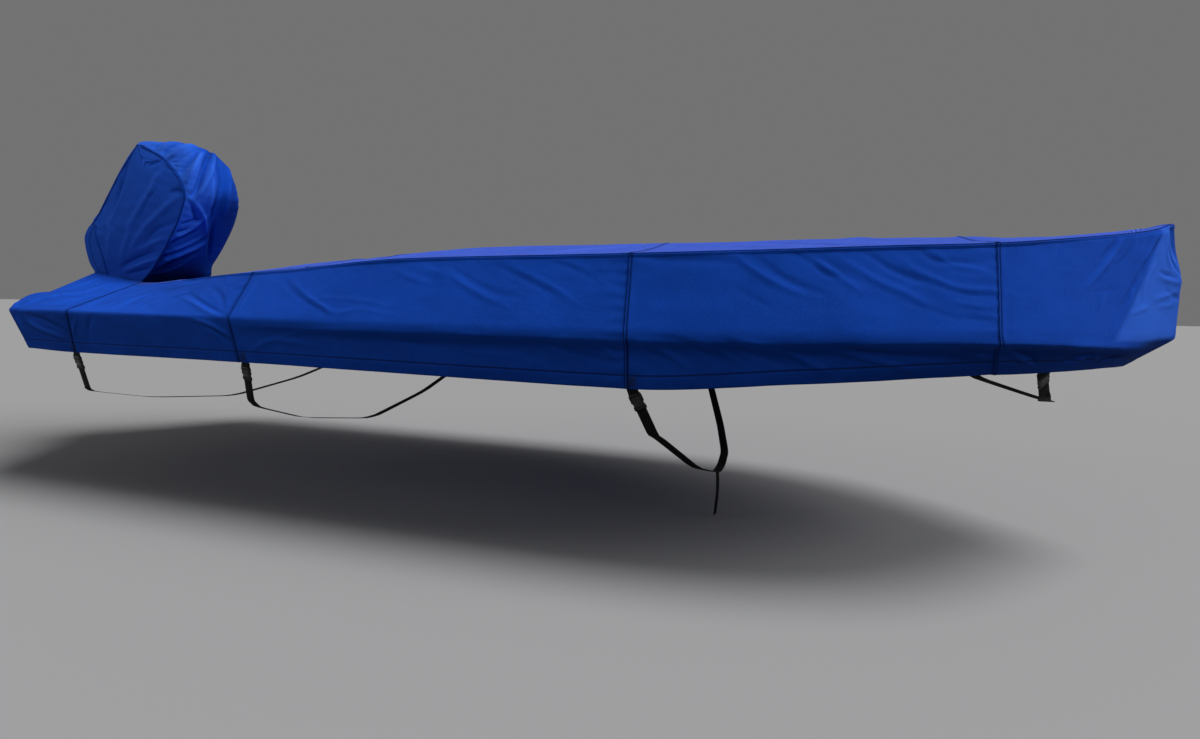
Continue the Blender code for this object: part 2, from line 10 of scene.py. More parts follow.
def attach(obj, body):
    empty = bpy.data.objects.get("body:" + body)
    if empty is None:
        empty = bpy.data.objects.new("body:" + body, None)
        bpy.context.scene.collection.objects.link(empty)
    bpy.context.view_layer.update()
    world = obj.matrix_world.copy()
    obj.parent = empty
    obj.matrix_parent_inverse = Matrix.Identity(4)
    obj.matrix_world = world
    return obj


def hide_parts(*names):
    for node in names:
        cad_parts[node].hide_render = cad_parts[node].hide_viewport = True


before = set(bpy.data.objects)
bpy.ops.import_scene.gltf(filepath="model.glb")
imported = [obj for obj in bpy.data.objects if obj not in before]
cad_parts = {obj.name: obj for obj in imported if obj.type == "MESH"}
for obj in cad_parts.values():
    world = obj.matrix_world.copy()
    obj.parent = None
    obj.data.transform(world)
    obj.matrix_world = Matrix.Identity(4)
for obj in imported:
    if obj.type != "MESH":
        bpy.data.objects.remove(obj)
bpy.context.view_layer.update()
print("frame loaded:", len(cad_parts), "nodes")

cameraSetup = {
    "place": (1.047, -2.800, -.292),
    "right": (.95640, .29103, .02271),
    "up": (-.05168, .09240, .99438),
    "lens": 18.01,
    "sensor": 36.0,
    "sees": (.05, 100),     # nearest and farthest distance shown
}


def makeCamera():
    lens = bpy.data.cameras.new("camera")
    lens.lens = cameraSetup["lens"]
    lens.sensor_width = cameraSetup["sensor"]
    lens.clip_start, lens.clip_end = cameraSetup["sees"]
    camera = bpy.data.objects.new("camera", lens)
    bpy.context.scene.collection.objects.link(camera)
    right, up = Vector(cameraSetup["right"]).normalized(), Vector(cameraSetup["up"])
    back = right.cross(up).normalized()
    up = back.cross(right).normalized()
    turn = Matrix((right, up, back)).transposed()
    camera.matrix_world = Matrix.Translation(cameraSetup["place"]) @ turn.to_4x4()
    bpy.context.scene.camera = camera


makeCamera()
print("camera placed")

# the cover's pattern, in metres: +X to the bow, +Y to port, +Z up
coverPattern = {
    # station, then (x, half-breadth, z) of the hem, the knuckle and the shoulder, and (x, z) of the ridge
    "frames": [
        (-2.47, (-2.38, .860, -.546), (-2.470, .880, -.366), (-2.955, .170, -.153), (-2.955, -.138)),
        (-2.04, (-2.05, .870, -.552), (-2.040, .900, -.360), (-2.502, .270, -.228), (-2.575, -.175)),
        (-1.10, (-1.076, .880, -.550), (-1.100, .905, -.368), (-1.110, .760, -.178), (-1.100, -.043)),
        (-.30, (-.30, .880, -.555), (-.300, .905, -.372), (-.300, .795, -.130), (-.300, .016)),
        (.56, (.565, .870, -.561), (.560, .890, -.370), (.550, .800, -.115), (.540, .024)),
        (1.10, (1.108, .830, -.518), (1.100, .860, -.362), (1.110, .755, -.098), (1.110, .033)),
        (1.68, (1.690, .660, -.474), (1.680, .720, -.346), (1.687, .600, -.064), (1.700, .038)),
        (2.13, (2.135, .290, -.462), (2.145, .350, -.356), (2.250, .190, .010), (2.230, .050)),
        (2.467, (2.312, .002, -.473), (2.467, .002, -.363), (2.430, .010, .060), (2.434, .078)),
    ],
    # how far the shoulder is lifted, by station
    "shoulderLift": ((-.9, -.4, 1.3, 1.7, 2.0, 2.36, 2.46), (0, .008, .008, .003, .007, .008, 0)),
    # how far forward the stem is pushed, by height on the side, and where along the bow panel that begins
    "stemShift": ((-1, 0, .53, .80, 1), (0, 0, .011, -.008, -.014)),
    "stemShiftStart": .70,
    "hoodStation": -2.04,
    "hoodFootFront": (-2.575, .170, -.207),
    "ridgeRoll": .018,      # how far the ridge is rounded down, and over what share of the half-breadth
    "ridgeWidth": .12,
    "topSag": .010,
    "hoodPull": .3,         # share of the aft bay that the foot of the hood shapes
    "sternRoll": .024,      # how far the stern corner bulges, and up to what share of its height
    "sternRollReach": .42,
    "knuckleRound": .008,
    # (x, z, half-breadth) up the hood's front and aft edges
    "hoodFront": [(-2.575, -.207, .170), (-2.500, -.148, .172), (-2.338, .032, .175), (-2.232, .200, .175),
                  (-2.205, .285, .172), (-2.346, .480, .162), (-2.545, .578, .148)],
    "hoodAft": [(-2.955, -.153, .170), (-2.995, -.090, .172), (-3.020, .041, .175), (-2.895, .195, .172),
                (-2.722, .424, .162), (-2.588, .582, .148)],
    "hoodSwell": .022,
    "crownRise": (.018, .065),      # how far the crown stands out on its front and over its top
    "crownTurn": (.40, .75),        # where it turns from the one to the other
    "crownBrow": (.065, .75, .16),  # height, place and spread of its brow
    "crownFullness": 4,
    "crownStep": .03,               # how far apart the places are that its direction is taken from
    "crownAftReach": .62,
    "apexRun": .04,                 # share of the crown's length over the apex
    "gussetTop": .36,
    "gussetReach": (.06, .20),      # share of the side that the gusset takes at its ends, and more between
    "gussetStart": .42,             # where along its curve it starts
    "flapFoot": (-2.800, .170, -.450),
}
stations = np.array([row[0] for row in coverPattern["frames"]])


def smoothValues(places, values, x):
    # a cubic through the values that never overshoots, for a whole array of places
    places, values = np.asarray(places, float), np.asarray(values, float)
    steps = np.diff(places)
    slopes = np.diff(values) / steps
    tangents = np.concatenate([slopes[:1], np.zeros(len(slopes) - 1), slopes[-1:]])
    inner = slopes[:-1] * slopes[1:]
    tangents[1:-1] = np.where(inner > 0, 2 * inner / np.where(inner > 0, slopes[:-1] + slopes[1:], 1), 0)
    x = np.clip(x, places[0], places[-1])
    i = np.clip(np.searchsorted(places, x, side="right") - 1, 0, len(slopes) - 1)
    t = (x - places[i]) / steps[i]
    start, end = tangents[i] * steps[i], tangents[i + 1] * steps[i]
    return ((2 * t**3 - 3 * t**2 + 1) * values[i] + (t**3 - 2 * t**2 + t) * start
            + (3 * t**2 - 2 * t**3) * values[i + 1] + (t**3 - t**2) * end)


def frameLine(which, s):
    # 1 hem, 2 knuckle, 3 shoulder
    line = np.stack([smoothValues(stations, [row[which][k] for row in coverPattern["frames"]], s)
                     for k in range(3)], -1)
    if which == 3:
        line[..., 2] += smoothValues(*coverPattern["shoulderLift"], s)
    return line


def ridgeLine(s):
    x, z = (smoothValues(stations, [row[4][k] for row in coverPattern["frames"]], s) for k in range(2))
    return np.stack([x, np.zeros_like(x), z], -1)


def between(p, q, t):
    return p + (q - p) * np.asarray(t)[..., None]


def smoothStep(x):
    x = np.clip(x, 0, 1)
    return x * x * (3 - 2 * x)


def unit(v):
    return v / np.maximum(np.linalg.norm(v, axis=-1, keepdims=True), 1e-12)


def sidePoint(bay, a, b):
    # a: 0 aft seam to 1 fore seam; b: -1 hem, 0 knuckle, 1 shoulder or foot of the hood
    s = bay["aft"] + (bay["fore"] - bay["aft"]) * a
    hem, knuckle = frameLine(1, s), frameLine(2, s)
    if bay["name"] == "stern":
        corner = frameLine(3, np.full_like(s, bay["aft"]))
        head = between(corner, np.array(coverPattern["hoodFootFront"]), a)
    else:
        head = frameLine(3, s)
    rise = np.linalg.norm(head - knuckle, axis=-1)
    drop = np.linalg.norm(hem - knuckle, axis=-1)
    m = np.where(b > 0, b * rise, b * drop)
    root = np.sqrt(m * m + coverPattern["knuckleRound"]**2)
    end = np.where(b > 0, rise, drop)
    excess = (np.sqrt(end * end + coverPattern["knuckleRound"]**2) - end) / 2
    up, down = (m + root) / 2 - excess, (root - m) / 2 - excess
    point = knuckle + (head - knuckle) * (up / rise)[..., None] + (hem - knuckle) * (down / drop)[..., None]
    if bay["name"] == "stern":
        out = unit(np.cross(head - knuckle, np.array([1., 0, 0])))
        out = np.where(out[..., 1:2] < 0, -out, out)
        reach = np.clip(b / coverPattern["sternRollReach"], 0, 1)
        point = point + out * (coverPattern["sternRoll"] * (1 - a) * np.sin(math.pi * reach))[..., None]
    point[..., 0] += stemShift(bay, a, b)
    return point


def stemShift(bay, a, b):
    start = coverPattern["stemShiftStart"]
    if bay["name"] != "bow":
        return np.zeros_like(a)
    return smoothValues(*coverPattern["stemShift"], b) * smoothStep((a - start) / (1 - start))


def drapedTop(s, share):
    point = between(ridgeLine(s), frameLine(3, s), share)
    point[..., 2] -= (coverPattern["ridgeRoll"] * (1 - share)
                      * np.exp(-(share / coverPattern["ridgeWidth"])**2))
    point[..., 2] -= coverPattern["topSag"] * np.sin(math.pi * share)
    return point


def footPoint(share):
    corner = np.array(coverPattern["hoodFootFront"])
    shoulder = frameLine(3, np.full_like(share, coverPattern["hoodStation"]))
    half = shoulder[..., 1] * share
    beyond = np.clip((half - corner[1]) / (shoulder[..., 1] - corner[1]), 0, 1)
    point = between(np.broadcast_to(corner, shoulder.shape), shoulder, beyond)
    point[..., 1] = half
    return point


def topPoint(bay, a, c):
    # c: -1 starboard shoulder seam to 1 port one
    s = bay["aft"] + (bay["fore"] - bay["aft"]) * a
    share = np.abs(c)
    point = drapedTop(s, share)
    if bay["name"] == "aft":
        near = np.clip(1 - a / coverPattern["hoodPull"], 0, 1)
        start = drapedTop(np.full_like(s, bay["aft"]), share)
        point = point + (footPoint(share) - start) * near[..., None]
    point[..., 1] *= np.where(c < 0, -1, 1)
    point[..., 0] += stemShift(bay, a, np.ones_like(a))
    return point


def hoodEdge(table, share):
    rows = np.array(table)
    places = np.concatenate([[0], np.cumsum(np.hypot(*np.diff(rows[:, :2], axis=0).T))])
    return [smoothValues(places / places[-1], rows[:, k], share) for k in range(3)]


def gussetReach(up):
    start, (least, more) = coverPattern["gussetStart"], coverPattern["gussetReach"]
    share = np.clip(start + (1 - start) * up / coverPattern["gussetTop"], 0, 1)
    return np.where(up > coverPattern["gussetTop"], 0, least + more * np.sin(math.pi * share))


def hoodSidePoint(up, along):
    front, aft = hoodEdge(coverPattern["hoodFront"], up), hoodEdge(coverPattern["hoodAft"], up)
    x, z, y = (f + (g - f) * along for f, g in zip(front, aft))
    swell = coverPattern["hoodSwell"] * np.sin(math.pi * along) * np.sin(math.pi * up)
    return np.stack([x, y + swell, z], -1)


def crownPath(q):
    # q: 0 front foot to 1 front of the apex, then over the apex and down the aft edge
    over = coverPattern["apexRun"]
    front = hoodEdge(coverPattern["hoodFront"], np.clip(q, 0, 1))
    aft = hoodEdge(coverPattern["hoodAft"], np.clip(2 + over - q, 0, 1))
    t = np.clip((q - 1) / over, 0, 1)
    return [f + (g - f) * t for f, g in zip(front, aft)]


def crownPoint(q, c):
    # c: -1 starboard seam to 1 port seam
    x, z, half = crownPath(q)
    x1, z1, _ = crownPath(q + coverPattern["crownStep"])
    x0, z0, _ = crownPath(q - coverPattern["crownStep"])
    run = unit(np.stack([x1 - x0, z1 - z0], -1))
    start, end = coverPattern["crownTurn"]
    turn = smoothStep((q - start) / (end - start))
    front, top = coverPattern["crownRise"]
    rise = front * np.clip(q / start, 0, 1) * (1 - turn) + top * turn
    swell, place, spread = coverPattern["crownBrow"]
    rise = rise + swell * np.exp(-((q - place) / spread)**2)
    lift = rise * (1 - np.abs(c)**coverPattern["crownFullness"])
    return np.stack([x + run[..., 1] * lift, c * half, z - run[..., 0] * lift], -1)


def makeBays(names, marks):
    return [{"name": name, "aft": aft, "fore": fore} for name, aft, fore in zip(names, marks, marks[1:])]


sideBays = makeBays(("stern", "aft", "mid", "fore", "bow"), (-2.47, -2.04, -1.10, .56, 1.68, 2.467))
topBays = makeBays(("aft", "mid_aft", "mid", "fore", "bow"), (-2.04, -1.10, -.83, .56, 1.68, 2.467))

# distances from a seam at which the cloth's grid has lines, by how the seam is sewn
bandSteps = [0, .0008, .0018, .0028, .0038, .006, .0085, .0108, .0118, .0128, .014, .0152, .018, .023, .030]
plainSteps = [0, .0008, .002, .004, .008, .014, .022]
seamSetup = {
    # distance from the seam line, and height of the folded cloth there
    "profile": [(0, 0), (.0008, .0012), (.0018, .0020), (.0028, -.0002), (.0038, .0022), (.006, .0027),
                (.0085, .0026), (.0108, .0020), (.0118, -.0002), (.0128, .0018), (.014, .0014), (.0152, 0)],
    "steps": {"band": bandSteps, "fell": bandSteps, "plain": plainSteps, "soft": plainSteps,
              "hem": [0, .006, .014, .024, .034, .041, .0438, .045, .0462, .049, .056]},
    "rows": {"band": (3, 8), "fell": (3,), "hem": (7,)},     # which steps carry rows of stitches
    "lineTone": {"band": .5, "fell": .8, "plain": .7, "soft": .2},    # how dark the seam line itself is
    "lineWidth": .0022,
    "rowWidth": .0020,         # of the dark line along a row of stitches
    "puckers": {"band": .0024, "fell": .0024, "plain": .0014, "soft": .0014},   # height of a seam's puckers
    "puckerReach": .034,
    "hush": .022,              # width beside a seam in which folds die out
    "reliefTone": 30,          # painted shade in the folds' troughs and painted light on their ridges, a metre of height
    "reliefMost": .32,
    "billows": [(.0024, .31, .15, 0), (.0012, .13, .065, 7), (.0006, .05, .03, 13)],   # height, sizes, seed
    "tabCalm": .045,           # how far round a tab the cloth lies flat
    "cell": .0080,
    "probes": 121,             # places along a panel where its length is measured
    "edgeShare": .8,           # the most of a panel's width that the steps along its edges take up
}
hemSetup = {
    "ply": .0011,              # how far the doubled cloth stands out
    "plyEdge": (.0012, .003),  # how far past the stitches it starts to step down, and over what width
    "gap": .0022,              # between the two plies
    "dimple": (.0012, .0016),  # depth and width along the stitches
    "tone": (.8, .0026),       # darkness and width there
    "pucker": (.006, .022, .0018),     # start, reach and height of the hem's puckers
}
# (pitch, lean, share, row of noise) of the waves in a seam's puckers, and where beside the seam they begin
puckerSetup = {"waves": [(.026, .4, 1, .5), (.055, -.3, .6, 2.5)], "start": .012, "seeds": (20, 30)}
foldSetup = {"pieces": 14, "ends": .02, "blunt": .6}      # how a fold's line is cut up, and how it dies out
stitchSetup = {"pitch": .0056, "length": .0042, "width": .0014, "height": .0009}
# where a stitch tapers, the pitches left free at a row's ends, and how far ahead its direction is taken
stitchForm = {"taper": .55, "margin": .7, "ahead": .001}


def edgeMarks(total, startSteps, endSteps, count):
    # distances along lines: steps from the start, even cells, then steps to the end
    total = np.atleast_1d(np.asarray(total, float))
    start, end = np.array(startSteps)[:, None], np.array(endSteps)[::-1][:, None]
    room = np.minimum(1, total * seamSetup["edgeShare"] / (start.max() + end.max()))
    start, end = start * room, end * room
    t = np.linspace(0, 1, count + 2)[1:-1][:, None]
    low, high = start[-1:], total - end[:1]
    return np.concatenate([start, low + (high - low) * t, total - end])


def runLength(points, axis):
    runs = np.cumsum(np.linalg.norm(np.diff(points, axis=axis), axis=-1), axis=axis)
    return np.concatenate([np.zeros_like(np.take(runs, [0], axis=axis)), runs], axis=axis)


def layGrid(pointAt, aSpan, bSpan, aSteps, bSteps):
    # a grid over the panel whose lines run at set distances from its edges
    cell = seamSetup["cell"]
    aa, bb = np.linspace(*aSpan, seamSetup["probes"]), np.linspace(*bSpan, seamSetup["probes"])
    runs = runLength(pointAt(*np.meshgrid(aa, bb, indexing="ij")), 1)
    total = runs[:, -1]
    count = max(2, round((total.mean() - bSteps[0][-1] - bSteps[1][-1]) / cell))
    marks = edgeMarks(total, bSteps[0], bSteps[1], count)
    bAt = np.stack([np.interp(marks[:, k], runs[k], bb) for k in range(len(aa))])
    rows = [runLength(pointAt(aa, bAt[:, i]), 0) for i in range(bAt.shape[1])]
    length = np.mean([run[-1] for run in rows])
    count = max(2, round((length - aSteps[0][-1] - aSteps[1][-1]) / cell))
    grid = {key: [] for key in ("a", "b", "low", "high", "aft", "fore")}
    for i, run in enumerate(rows):
        mark = edgeMarks(run[-1], aSteps[0], aSteps[1], count)[:, 0]
        a = np.interp(mark, run, aa)
        low = np.interp(a, aa, marks[i])
        found = (a, np.interp(a, aa, bAt[:, i]), low, np.interp(a, aa, total) - low, mark, run[-1] - mark)
        for key, value in zip(grid, found):
            grid[key].append(value)
    return {key: np.array(value) for key, value in grid.items()}


def softNoise(u, v, seed):
    # smooth noise from -1 to 1 with about one feature a unit
    size = 64
    table = np.random.RandomState(seed).uniform(-1, 1, (size, size))
    iu, iv = np.floor(u).astype(int), np.floor(v).astype(int)
    fu, fv = smoothStep(u - iu), smoothStep(v - iv)
    low, high = (table[iu % size, row % size] * (1 - fu) + table[(iu + 1) % size, row % size] * fu
                 for row in (iv, iv + 1))
    return low * (1 - fv) + high * fv


def curveThrough(points, count):
    # a smooth line through a few places
    p = np.array(points, float)
    p = np.concatenate([2 * p[:1] - p[1:2], p, 2 * p[-1:] - p[-2:-1]])
    out = []
    for t in np.linspace(0, len(points) - 1 - 1e-6, count):
        p0, p1, p2, p3 = p[int(t):int(t) + 4]
        f = t - int(t)
        out.append(.5 * (2 * p1 + (p2 - p0) * f + (2 * p0 - 5 * p1 + 4 * p2 - p3) * f**2
                         + (3 * p1 - p0 - 3 * p2 + p3) * f**3))
    return np.array(out)


def foldField(points, pointAt, folds, aSpan, bSpan):
    # the height of all the listed folds of a panel: ridges above 0, troughs below
    field = np.zeros(points.shape[:2])
    for line, width, height in folds:
        track = curveThrough(line, foldSetup["pieces"] + 1)
        spots = pointAt(np.clip(track[:, 0], *aSpan), np.clip(track[:, 1], *bSpan))
        best, place = np.full(field.shape, np.inf), np.zeros(field.shape)
        for k, (spot, run) in enumerate(zip(spots, np.diff(spots, axis=0))):
            t = np.clip(((points - spot) @ run) / max(run @ run, 1e-12), 0, 1)
            away = np.linalg.norm(points - spot - t[..., None] * run, axis=-1)
            place = np.where(away < best, (k + t) / foldSetup["pieces"], place)
            best = np.minimum(away, best)
        fade = np.sin(math.pi * np.clip(place, foldSetup["ends"], 1 - foldSetup["ends"]))**foldSetup["blunt"]
        field += height / 1000 * fade * np.exp(-(best / (width / 1000))**2)
    return field


def pucker(along, away, reach, size, seed):
    # short pull wrinkles that leave a seam nearly square to it
    total = 0
    for k, (pitch, lean, share, row) in enumerate(puckerSetup["waves"]):
        total = total + share * softNoise((along + lean * away) / pitch, np.full_like(along, row), seed + k)
    return size * total * np.exp(-away / reach) * smoothStep(away / puckerSetup["start"])


def gridNormals(points, outward):
    normals = unit(np.cross(np.gradient(points, axis=1), np.gradient(points, axis=0)))
    return normals if (normals * outward).sum() > 0 else -normals


def makePanel(pointAt, aSpan, bSpan, edges, centre, folds=(), seed=1, form=None, shape=None, shade=None,
              calmSpots=(), mirror=False):
    # edges gives the kind of the low, high, aft and fore edge
    # form crosses the seams, shape dies out beside them
    steps = [seamSetup["steps"][kind] for kind in edges]
    grid = layGrid(pointAt, aSpan, bSpan, steps[2:], steps[:2])
    base = pointAt(grid["a"], grid["b"])
    outward = base - np.array(centre)
    normals = gridNormals(base, outward)
    u, v = grid["aft"], grid["low"]
    height = foldField(base, pointAt, folds, aSpan, bSpan)
    # painted shade in the troughs of the folds, painted light on their ridges
    relief = np.clip(height * seamSetup["reliefTone"], -seamSetup["reliefMost"], seamSetup["reliefMost"])
    for size, long, wide, more in seamSetup["billows"]:
        height += size * softNoise(u / long, v / wide, seed + more)
    if shape is not None:
        height += shape(grid)
    sides = dict(zip(("low", "high", "aft", "fore"), edges))
    calm = {key: smoothStep(grid[key] / seamSetup["hush"]) if kind in seamSetup["lineTone"]
            else np.ones(height.shape) for key, kind in sides.items()}
    height *= calm["low"] * calm["high"] * calm["aft"] * calm["fore"]
    seams, tone = np.zeros(height.shape), -relief
    seamSeed, hemSeed = (seed + more for more in puckerSetup["seeds"])
    # shade adds painted shade, or painted light where it is below 0
    if shade is not None:
        tone += shade(grid)
    for n, (key, kind) in enumerate(sides.items()):
        along, away = (u if key in ("low", "high") else v), grid[key]
        others = np.prod([value for name, value in calm.items() if name != key], axis=0)
        if kind in seamSetup["lineTone"]:
            pulls = pucker(along, away, seamSetup["puckerReach"], seamSetup["puckers"][kind], seamSeed + n)
            height += pulls * others
            tone += seamSetup["lineTone"][kind] * np.exp(-(away / seamSetup["lineWidth"])**2)
        if kind in ("band", "fell"):
            seams += np.interp(away, *np.array(seamSetup["profile"]).T, right=0)
            for row in seamSetup["rows"][kind]:
                tone += np.exp(-((away - bandSteps[row]) / seamSetup["rowWidth"])**2)
        if kind == "hem":
            past = away - seamSetup["steps"]["hem"][seamSetup["rows"]["hem"][0]]
            beyond, fall = hemSetup["plyEdge"]
            seams += hemSetup["ply"] * (1 - smoothStep((past - beyond) / fall))
            deep, wide = hemSetup["dimple"]
            seams -= deep * np.exp(-(past / wide)**2)
            start, reach, size = hemSetup["pucker"]
            height += pucker(along, np.abs(past) + start, reach, size, hemSeed + n) * others
            dark, wide = hemSetup["tone"]
            tone += dark * np.exp(-(past / wide)**2)
    if form is not None:
        height += form(grid)
    for spot in calmSpots:
        height *= 1 - np.exp(-(np.linalg.norm(base - np.array(spot), axis=-1) / seamSetup["tabCalm"])**4)
    points = base + normals * (height + seams)[..., None]
    side = np.array([1, -1, 1]) if mirror else np.ones(3)
    points, outward = points * side, outward * side
    return {"points": points, "normals": gridNormals(points, outward), "tone": np.clip(tone, -1, 1),
            "edges": edges, "uv": np.stack([u, v], -1), "base": base}


def turned(values, edge):
    # the same grid with the named edge first
    if edge in (2, 3):
        values = np.swapaxes(values, 0, 1)
    return values[::-1] if edge in (1, 3) else values


def turnedBack(values, edge):
    # such a grid the way it was
    values = values[::-1] if edge in (1, 3) else values
    return np.swapaxes(values, 0, 1) if edge in (2, 3) else values


def turnHem(panel):
    # the ply of the hem that turns in round the edge and runs back to the stitches
    if "hem" not in panel["edges"]:
        return panel
    edge = panel["edges"].index("hem")
    points, normals, tone, uv = (turned(panel[key], edge) for key in ("points", "normals", "tone", "uv"))
    radius, count = hemSetup["gap"] / 2, seamSetup["rows"]["hem"][0] + 1
    down = unit(points[0] - points[1])
    bend = [points[0] + down * radius * math.sin(t) - normals[0] * radius * (1 - math.cos(t))
            for t in (math.pi / 4, math.pi / 2, 3 * math.pi / 4)]
    ply = [points[k] - normals[k] * 2 * radius for k in range(count)]
    inside = np.array((bend + ply)[::-1])
    whole = {"points": [inside, points],
             "tone": [tone[:count][::-1]] + [tone[:1]] * 3 + [tone],
             "uv": [2 * uv[:1] - uv[:count][::-1]] + [uv[:1]] * 3 + [uv],
             "normals": [-normals[:count][::-1], -normals[:1], down[None], normals[:1], normals]}
    return {key: turnedBack(np.concatenate(values), edge) for key, values in whole.items()}


def meshFromPanel(name, panel, material):
    whole = turnHem(panel)
    points = whole["points"]
    rows, columns = points.shape[:2]
    index = np.arange(rows * columns).reshape(rows, columns)
    faces = np.stack([index[:-1, :-1], index[:-1, 1:], index[1:, 1:], index[1:, :-1]], -1).reshape(-1, 4)
    verts = points.reshape(-1, 3)
    facing = whole["normals"].reshape(-1, 3)
    made = np.cross(verts[faces[:, 1]] - verts[faces[:, 0]], verts[faces[:, 3]] - verts[faces[:, 0]])
    if (made * facing[faces[:, 0]]).sum() < 0:
        faces = faces[:, ::-1]
    mesh = bpy.data.meshes.new(name)
    mesh.from_pydata(verts.tolist(), [], faces.tolist())
    cut = mesh.uv_layers.new(name="cut")
    cut.data.foreach_set("uv", whole["uv"].reshape(-1, 2)[faces.reshape(-1)].astype(np.float32).ravel())
    tone = mesh.attributes.new("seamAndShadeTone", "FLOAT", "POINT")
    tone.data.foreach_set("value", whole["tone"].astype(np.float32).ravel())
    return finishMesh(name, mesh, material)


def finishMesh(name, mesh, material):
    mesh.shade_smooth()
    mesh.materials.append(material)
    piece = bpy.data.objects.new(name, mesh)
    bpy.context.scene.collection.objects.link(piece)
    return piece


def stitchRows(panel):
    # the lines that the needle follows on a panel
    rows = []
    for edge, kind in enumerate(panel["edges"]):
        marks = seamSetup["rows"].get(kind, ())
        points, normals = turned(panel["points"], edge), turned(panel["normals"], edge)
        rows += [(points[k], normals[k]) for k in marks]
    return rows


def makeStitches(name, rows, material, setup=stitchSetup):
    # small bars of thread at an even pitch along each row
    long, wide, tall = setup["length"] / 2, setup["width"] / 2, setup["height"]
    flat = long * stitchForm["taper"]
    bar = np.array([(-long, 0, 0), (-flat, -wide, 0), (-flat, wide, 0), (-flat, 0, tall),
                    (flat, -wide, 0), (flat, wide, 0), (flat, 0, tall), (long, 0, 0)])
    corners = [(0, 2, 1), (0, 1, 3), (0, 3, 2), (7, 4, 5), (7, 6, 4), (7, 5, 6)]
    quads = [(1, 4, 6, 3), (2, 3, 6, 5), (1, 2, 5, 4)]
    verts, faces, count = [], [], 0
    for points, normals in rows:
        run = runLength(points, 0)
        margin = setup["pitch"] * stitchForm["margin"]
        marks = np.arange(margin, run[-1] - margin, setup["pitch"])
        if len(marks) < 2:
            continue
        spot, ahead, normal = (
            np.stack([np.interp(places, run, line[:, k]) for k in range(3)], -1)
            for places, line in ((marks, points), (marks + stitchForm["ahead"], points), (marks, normals)))
        normal = unit(normal)
        along = unit(ahead - spot)
        side = unit(np.cross(normal, along))
        solid = (spot[:, None] + along[:, None] * bar[:, :1] + side[:, None] * bar[:, 1:2]
                 + normal[:, None] * bar[:, 2:])
        verts.append(solid.reshape(-1, 3))
        for start in range(count, count + 8 * len(marks), 8):
            faces += [tuple(start + k for k in face) for face in corners + quads]
        count += 8 * len(marks)
    mesh = bpy.data.meshes.new(name)
    mesh.from_pydata(np.concatenate(verts).tolist(), [], faces)
    return finishMesh(name, mesh, material)
